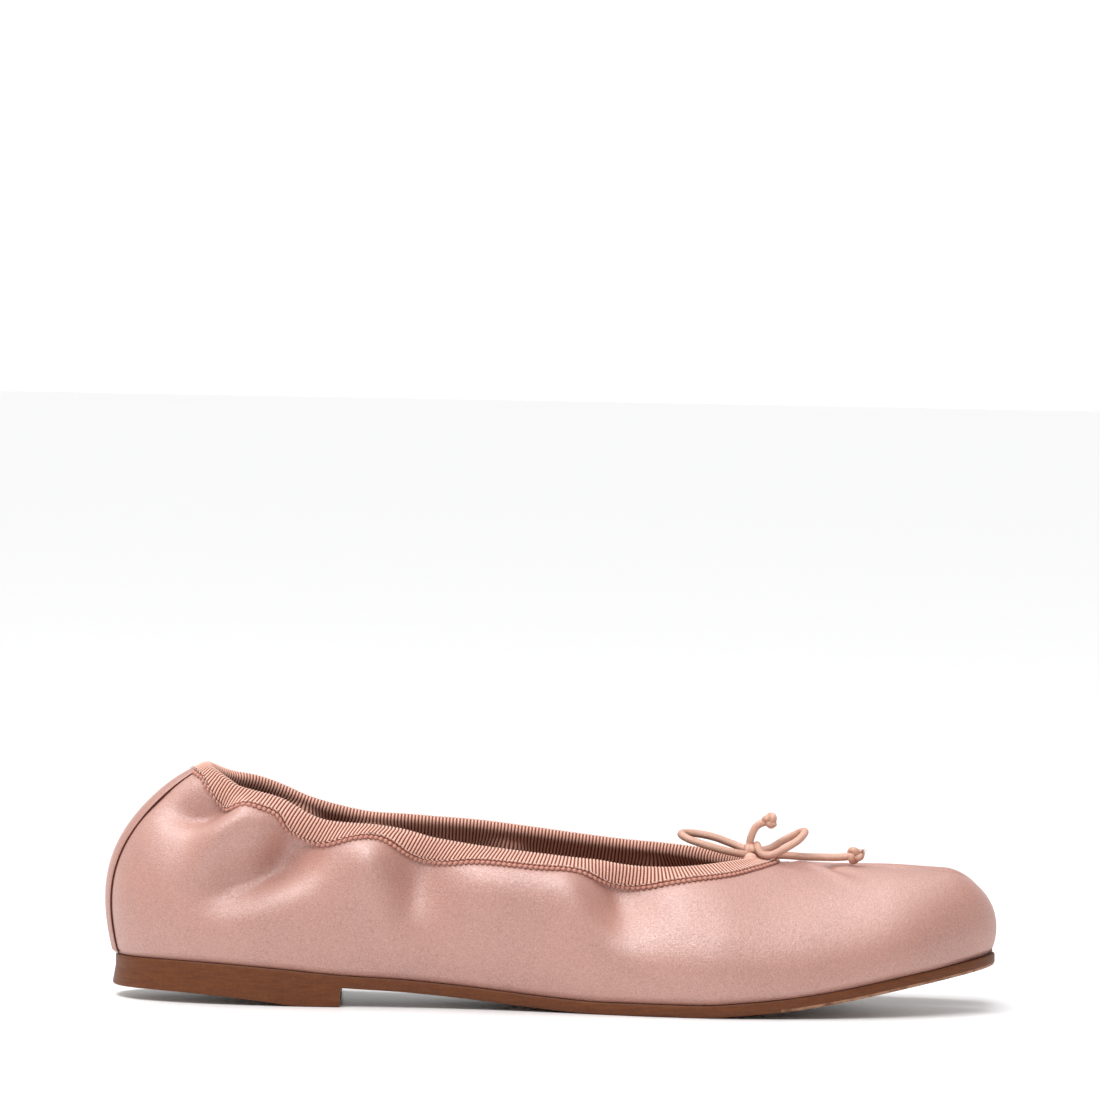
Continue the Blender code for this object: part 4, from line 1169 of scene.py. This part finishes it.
def make_ribbon(ribbon, finish):
    """Ribbed elastic folded over the edge, its outer selvedge in small loops."""
    ribs = 2 * round(ribbon.long / RIB_PITCH / 2)
    columns = ribs * RIB_SAMPLES
    place = (np.arange(columns) + 0.5) / columns * ribbon.long
    crest = rib_phase(place, ribs, ribbon.long)
    loop = rib_phase(place, round(ribbon.long / LOOP_PITCH), ribbon.long) ** 0.7
    x, on_outer = ribbon.side(place)
    skew = np.where(on_outer, line_height(SKEW, x), 0.0)
    leg_out, leg_in, rise, lift = ribbon.lengths(place)
    outer, inner = RIBBON_GAP + RIBBON, -(WALL + LINING_GAP + RIBBON)
    # gap: painted shade, full between two ribs and none on their crests
    ones, gap = np.ones(columns), 1 - crest
    sunk = RIB_HIGH * (crest ** 0.7 - 1)
    rows = []

    def down_outside(f, height, shade, extra=0.0, edge=0.0):
        down = leg_out * f + extra
        points = ribbon.leg(place - skew * down, down, height + lift * (1 - f) ** 2)
        rows.append((points, shade, edge * ones))

    # The selvedge from its foot: height off the satin, painted shade as in the gap between two ribs, how
    # far it goes beyond the leg, and share of the edge's colour.
    for height, shade, extra, edge in (
            (0.02 * ones, 0.8 * ones, 0.40 * loop - 0.30, 1.0),
            (0.20 + 0.32 * loop, 0.9 * (1 - loop), 0.72 * loop - 0.34, 1.0),
            (0.28 + 0.72 * loop, 0.9 * (1 - loop), 0.36 * loop - 0.34, 1.0),
            (0.30 + 0.62 * loop, 0.9 * (1 - loop), -0.50, 1.0),
            (outer - 0.60 + 0.10 * loop, 0.9 * ones, -0.80, 0.3),
            (outer - 0.40 + 0.20 * crest, 0.30 + 0.6 * gap, -1.05, 0.0),
            (outer + sunk, gap, -1.35, 0.0)):
        down_outside(1.0, height, shade, extra, edge)
    for f in np.linspace(0.72, 0.0, 8):
        down_outside(f, outer + sunk, gap)
    for angle in np.radians((25, 50, 75, 100, 125, 150)):
        arc = ribbon.fold(place, angle * ones, outer + lift + sunk, inner - sunk, rise + sunk)
        rows.append((arc, gap, 0 * ones))
    for f in np.linspace(0.0, 1.0, 9):
        rows.append((ribbon.leg(place, leg_in * f, inner - sunk), gap, 0 * ones))
    back = inner + RIBBON
    # the back of the ribbon, against the satin and the lining, is painted fully in shade
    for points in (
            ribbon.leg(place, leg_in, back * ones), ribbon.leg(place, 0 * ones, back * ones),
            ribbon.fold(place, np.pi / 2 * ones, RIBBON_GAP, back, rise - RIBBON),
            ribbon.leg(place, 0 * ones, RIBBON_GAP * ones)):
        rows.append((points, ones, 0 * ones))
    points, gap_shades, edges = (np.stack(values, 1) for values in zip(*rows))
    faces = grid_faces(columns, len(rows), True, True)
    piece = mesh_object("collar_ribbon_elastic", [points], faces, [finish], gap=gap_shades, edge=edges)
    stands_for(piece, "ribbon", "collar_ribbon")


def make_stitches(ribbon, finish):
    """Pale thread between the ribs and the selvedge, one small stitch over every loop."""
    count = round(ribbon.long / LOOP_PITCH)
    r = np.random.default_rng(11)
    f = np.linspace(-1, 1, STITCH_RINGS)
    size = (STITCH_THICK / 2 * np.sqrt(np.maximum(1 - f ** 4, 0.05)))[:, None, None]
    angle = whole_turn(STITCH_SIDES)[None, :, None]
    parts, faces = [], []
    for k in range(count):
        at = (k + 0.5) / count * ribbon.long
        down = float(ribbon.lengths(np.array([at]))[0][0]) - STITCH_UP
        along, off, aside = (r.normal(0, spread) for spread in STITCH_UNEVEN)
        height = RIBBON_GAP + RIBBON + 0.02 + STITCH_ARCH * (1 - f ** 2) + off
        line = ribbon.leg(at + f * STITCH_LONG / 2 + along, down + STITCH_SLANT * f + aside, height)
        way = unit(np.gradient(line, axis=0))
        side = unit(np.cross(way, (0.3, 0.2, 1.0)))
        up = np.cross(way, side)
        parts.append(line[:, None] + size * (np.cos(angle) * side[:, None] + np.sin(angle) * up[:, None]))
        first = k * STITCH_RINGS * STITCH_SIDES
        last = first + (STITCH_RINGS - 1) * STITCH_SIDES
        faces += (first + tube_faces(STITCH_RINGS, STITCH_SIDES)).tolist()
        faces += [range(first + STITCH_SIDES - 1, first - 1, -1), range(last, last + STITCH_SIDES)]
    stands_for(mesh_object("ribbon_stitches", parts, faces, [finish], weld=0.0000001), "cord")


# ---- sole

def last_outline(inset=0.0):
    """The last's edge as a closed line of points in plan."""
    return last_edge(np.arange(0, len(LAST), OUTLINE_STEP), inset)[0]


def heel_outline():
    """The last's edge behind the heel's breast, closed by a straight breast."""
    points = last_outline()
    back = points[points[:, 0] < HEEL_BREAST]
    start = int(np.argmax(np.linalg.norm(np.roll(back, -1, 0) - back, axis=1))) + 1
    back = np.roll(back, -start, 0)
    breast = np.linspace(back[-1], back[0], 26)[1:-1]
    return np.concatenate([back, breast])


def moved_in(outline, inset):
    """A closed line in plan moved in square to itself."""
    ahead = unit(np.roll(outline, -1, 0) - outline)
    behind = unit(outline - np.roll(outline, 1, 0))
    way = unit(ahead + behind)
    turn = np.clip((way * ahead).sum(1, keepdims=True), 0.7, 1)
    return outline - to_right(way) * inset / turn


def filled(ring, height):
    """Points and triangles that fill a closed ring of points in plan."""
    x, y = (np.arange(ring[:, k].min() + 1, ring[:, k].max(), FILL_SPACING) for k in range(2))
    grid = np.stack(np.meshgrid(x, y), -1).reshape(-1, 2)
    away = np.array([np.min(np.linalg.norm(ring - g, axis=1)) for g in grid])
    seeds = [Vector(p) for p in np.concatenate([ring, grid[away > FILL_SPACING / 2]])]
    found, _, faces, _, _, _ = delaunay_2d_cdt(seeds, [], [tuple(range(len(ring)))], 1, 0.0001)
    plan = np.array([tuple(p) for p in found])
    return np.column_stack([plan, height(plan[:, 0])]), faces


def plate(name, outline, low, high, profile, finishes, spread=1.0, front=0.0, square_to=None):
    """Plate between two heights whose edge follows a profile of (moved in, level) rows.

    Its underside, level 0, is spread about the middle of its front, and its lower edge is
    square, not rounded, as far as square_to. finishes: edge, underside and the lower corner's painted
    highlight.
    """
    rings = []
    for inset, level in profile:
        if square_to is not None and level < 0.5:
            inset = inset * ease((outline[:, :1] - square_to) / 3)
        size = 1 + (spread - 1) * (1 - level)
        ring = (front, 0) + (moved_in(outline, inset) - (front, 0)) * size
        z = low(ring[:, 0]) + (high(ring[:, 0]) - low(ring[:, 0])) * level
        rings.append(np.column_stack([ring, z]))
    points = np.stack(rings, 1)
    faces = grid_faces(len(outline), len(profile), True)
    section, strip = np.divmod(np.arange(len(faces)), len(profile) - 1)
    # the lower corner of the sole's front part takes the painted highlight finish
    lit_corner = (len(finishes) > 2) & (strip > 0) & (strip < 4) & (outline[section, 0] > RIM_FROM)
    faces, finish_of, parts = faces.tolist(), list(2 * lit_corner), [points]
    for k, height, turned, finish in ((0, low, True, 1), (-1, high, False, 0)):
        base = sum(part.size for part in parts) // 3
        inside, triangles = filled(points[:, k, :2], height)
        parts.append(inside)
        faces += [[base + v for v in (t[::-1] if turned else t)] for t in triangles]
        finish_of += [min(finish, len(finishes) - 1)] * len(triangles)
    made = mesh_object(name, parts, faces, finishes, finish_of, weld=0.00003)
    made.data.set_sharp_from_angle(angle=np.radians(SHARP))
    return made


def make_sole(edge, under, rim, lining):
    outline = last_outline()
    sides, toe = SOLE_PROUD
    proud = sides + (toe - sides) * ease((outline[:, :1] - PROUD_FROM) / PROUD_GROWS)
    clear = ease((np.abs(outline[:, 1:] - CLEFT_Y) - CLEFT_HALF) / CLEFT_GROWS)
    outsole = plate(
        "outsole_leather", moved_in(outline, -proud * clear), sole_low, sole_top, SOLE_EDGE,
        [edge, under, rim], square_to=HEEL_BREAST)
    heel = plate(
        "heel_leather", moved_in(heel_outline(), -sides), lambda x: line_height(HEEL_LINE, x),
        lambda x: sole_low(x) - HEEL_SEAM, HEEL_EDGE, [edge, under], HEEL_SPREAD, HEEL_BREAST)
    insole = plate(
        "insole_lining", last_outline(INSOLE_INSET), lambda x: sole_top(x) + GAP,
        lambda x: sole_top(x) + GAP + INSOLE_THICK, INSOLE_EDGE, [lining])
    stands_for(outsole, "sole_leather", "outsole")
    stands_for(heel, "sole_leather", "heel")
    stands_for(insole, "lining_leather", "insole")


# ---- bow

def wrap(middle, reach, size, turns, start):
    """A cord's turns round the x axis through the middle."""
    t = np.linspace(0, 1, int(60 * turns))
    angle = start + 2 * np.pi * turns * t
    run = np.column_stack([reach * (2 * t - 1), size[0] * np.cos(angle), size[1] * np.sin(angle)])
    return run + middle


def overhand(middle, half, thick, lean):
    """The closed run of an overhand knot, half across, with its axis leaned by an angle about y."""
    t = np.linspace(0, 2 * np.pi, 140)
    x, y, z = np.sin(t) + 2 * np.sin(2 * t), -1.6 * np.sin(3 * t), np.cos(t) - 2 * np.cos(2 * t)
    run = np.column_stack([x, y, z]) / 3 * (half - thick)
    c, s = np.cos(lean), np.sin(lean)
    return run @ np.array([[c, 0, s], [0, 1, 0], [-s, 0, c]]) + middle


def frayed(finish):
    """The cut end of the front cord: short fibres that spread a little from one point."""
    r = np.random.default_rng(6)
    start = np.array(TIP_FRONT[0]) + FRAY_FROM
    way = unit(np.array(FRAY_WAY))
    parts = []
    for _ in range(FIBRES):
        side = r.normal(size=3) * FIBRE_SPREAD
        tip = start + way * FRAY_LONG * r.uniform(0.7, 1.1) + side
        root = start + side * 0.45
        bend = (root + tip) / 2 + r.normal(size=3) * 0.10
        parts.append(tube("fibre", dense((root, bend, tip), 7), FIBRE_RADIUS, 5, finish))
    return parts


def make_bow(finish):
    """Two cords, the wraps of the knot between them and a knot at the end of each."""
    paths = {name: dense(route, CORD_POINTS) for name, route in (("back", BOW_BACK), ("front", BOW_FRONT))}
    cords = {
        name: tube(f"bow_cord_{name}", path, CORD / 2, CORD_SIDES, finish) for name, path in paths.items()}
    wraps = joined("bow_knot_wraps", [
        tube("wrap", wrap(*turns), CORD / 2 * share, CORD_SIDES, finish) for *turns, share in BOW_WRAPS])
    up, front = (tube("run", overhand(*tip), tip[2], KNOT_SIDES, finish) for tip in (TIP_UP, TIP_FRONT))
    tip_up = joined("bow_tip_up_knot", [up, tube("stub", dense(STUB, 12), STUB_RADIUS, KNOT_SIDES, finish)])
    tip_front = joined("bow_tip_front_knot", [front, *frayed(finish)])
    for piece, stood_for in ((wraps, "bow_knot"), (tip_up, "bow_tip_up"), (tip_front, "bow_tip_front")):
        stands_for(piece, "cord", stood_for)
    for name, end, tip in (("back", "front", tip_front), ("front", "up", tip_up)):
        stands_for(cords[name], "cord", f"bow_loop_{name}", f"bow_end_{end}")


def make_casing(finish):
    """The ribbon's small mouth at the throat, which the two cords leave."""
    levels = np.linspace(0, np.pi / 2, CASING_LEVELS)
    angle, up = np.meshgrid(whole_turn(CASING_SIDES), levels, indexing="ij")
    pleat = 1 + PLEAT_DEEP * np.cos(PLEATS * angle) * np.cos(up)
    shape = (np.cos(angle) * np.cos(up) * pleat, np.sin(angle) * np.cos(up) * pleat, np.sin(up))
    points = np.stack([m + s * v for m, s, v in zip(*CASING, shape)], -1)
    faces = grid_faces(CASING_SIDES, CASING_LEVELS, True).tolist()
    faces.append([k * CASING_LEVELS for k in range(CASING_SIDES)][::-1])
    stands_for(mesh_object("cord_casing", [points], faces, [finish], weld=0.000001), "ribbon")


def make_cleft_tack(surface, finish):
    """Bar tack of close thread wraps over the end of the cleft."""
    across = np.linspace(-1, 1, 15)
    parts = []
    for k in range(TACK_WRAPS):
        x = TACK_FROM + k * TACK_PITCH
        top = surface.ray_cast(Vector((x, TACK_Y + TACK_HALF * 1.3, 60)), Vector((0, 0, -1)))[0]
        z = top[2] - TACK_SUNK + TACK_ARCH * (1 - across ** 4)
        line = np.column_stack([np.full(len(across), x), TACK_Y + across * TACK_HALF, z])
        parts.append(tube("tack", line, TACK_PITCH * TACK_RADIUS, 8, finish))
    stands_for(joined("cleft_tack", parts), "satin")


# ---- floor and light

def make_floor(finish):
    mesh = bpy.data.meshes.new("floor")
    angle = whole_turn(64)
    ring = np.column_stack([np.cos(angle), np.sin(angle), 0 * angle]) * FLOOR_RADIUS
    mesh.from_pydata(ring, [], [tuple(range(len(ring)))])
    mesh.materials.append(finish)
    shown("floor", mesh)


def make_lights():
    """Pale studio walls, one broad lamp above and a soft box in front and above."""
    world = bpy.data.worlds.new("studio")
    world.use_nodes = True
    tree = world.node_tree
    way = node(tree, "SeparateXYZ")
    tree.links.new(node(tree, "TexCoord").outputs["Generated"], way.inputs[0])
    wall = blend_colour(tree, ranged(tree, way.outputs["Y"], -SKY_SIDE, SKY_SIDE), SKY_NEAR, SKY_LOW)
    dark = ranged(tree, way.outputs["Z"], SKY_FROM, SKY_TO)
    tree.links.new(blend_colour(tree, dark, wall, SKY_HIGH), tree.nodes["Background"].inputs["Color"])
    bpy.context.scene.world = world
    key = shown("key", bpy.data.lights.new("key", "SUN"))
    key.data.angle = np.radians(KEY_SPREAD)
    key.data.energy = KEY_STRENGTH
    key.rotation_euler = Vector(KEY_WAY).to_track_quat("Z", "Y").to_euler()
    box = shown("front_box", bpy.data.lights.new("front_box", "AREA"))
    box.data.shape = "RECTANGLE"
    box.data.size, box.data.size_y = BOX_SIZE
    box.data.energy = BOX_WATTS
    box.location = BOX_PLACE
    box.rotation_euler = (Vector(BOX_AIM) - Vector(BOX_PLACE)).to_track_quat("-Z", "Y").to_euler()


def main():
    make_camera()
    look = make_finishes()
    make_bow(look["cord"])

    plain = softened(smooth_wall(np.linspace(0, 1, LEVELS)))
    faces = grid_faces(len(plain), LEVELS, True)
    outer = creased(plain, grid_normals(plain, faces))
    surface = BVHTree.FromPolygons(outer.reshape(-1, 3).tolist(), faces.tolist())
    make_upper(outer, grid_normals(outer, faces), [look["satin"], look["lining_leather"]])
    make_back_strip([look["strip_satin_shaded"], look["turned_edge_shade"]])
    ribbon = Ribbon(surface)
    make_ribbon(ribbon, look["ribbon"])
    make_stitches(ribbon, look["thread"])
    make_casing(look["ribbon"])
    make_cleft_tack(surface, look["tack_thread"])
    make_sole(look["sole_leather"], look["under_leather"], look["rim_highlight_leather"], look["lining_leather"])

    make_floor(look["floor"])
    make_lights()
    bpy.context.scene.view_settings.view_transform = "Standard"


main()
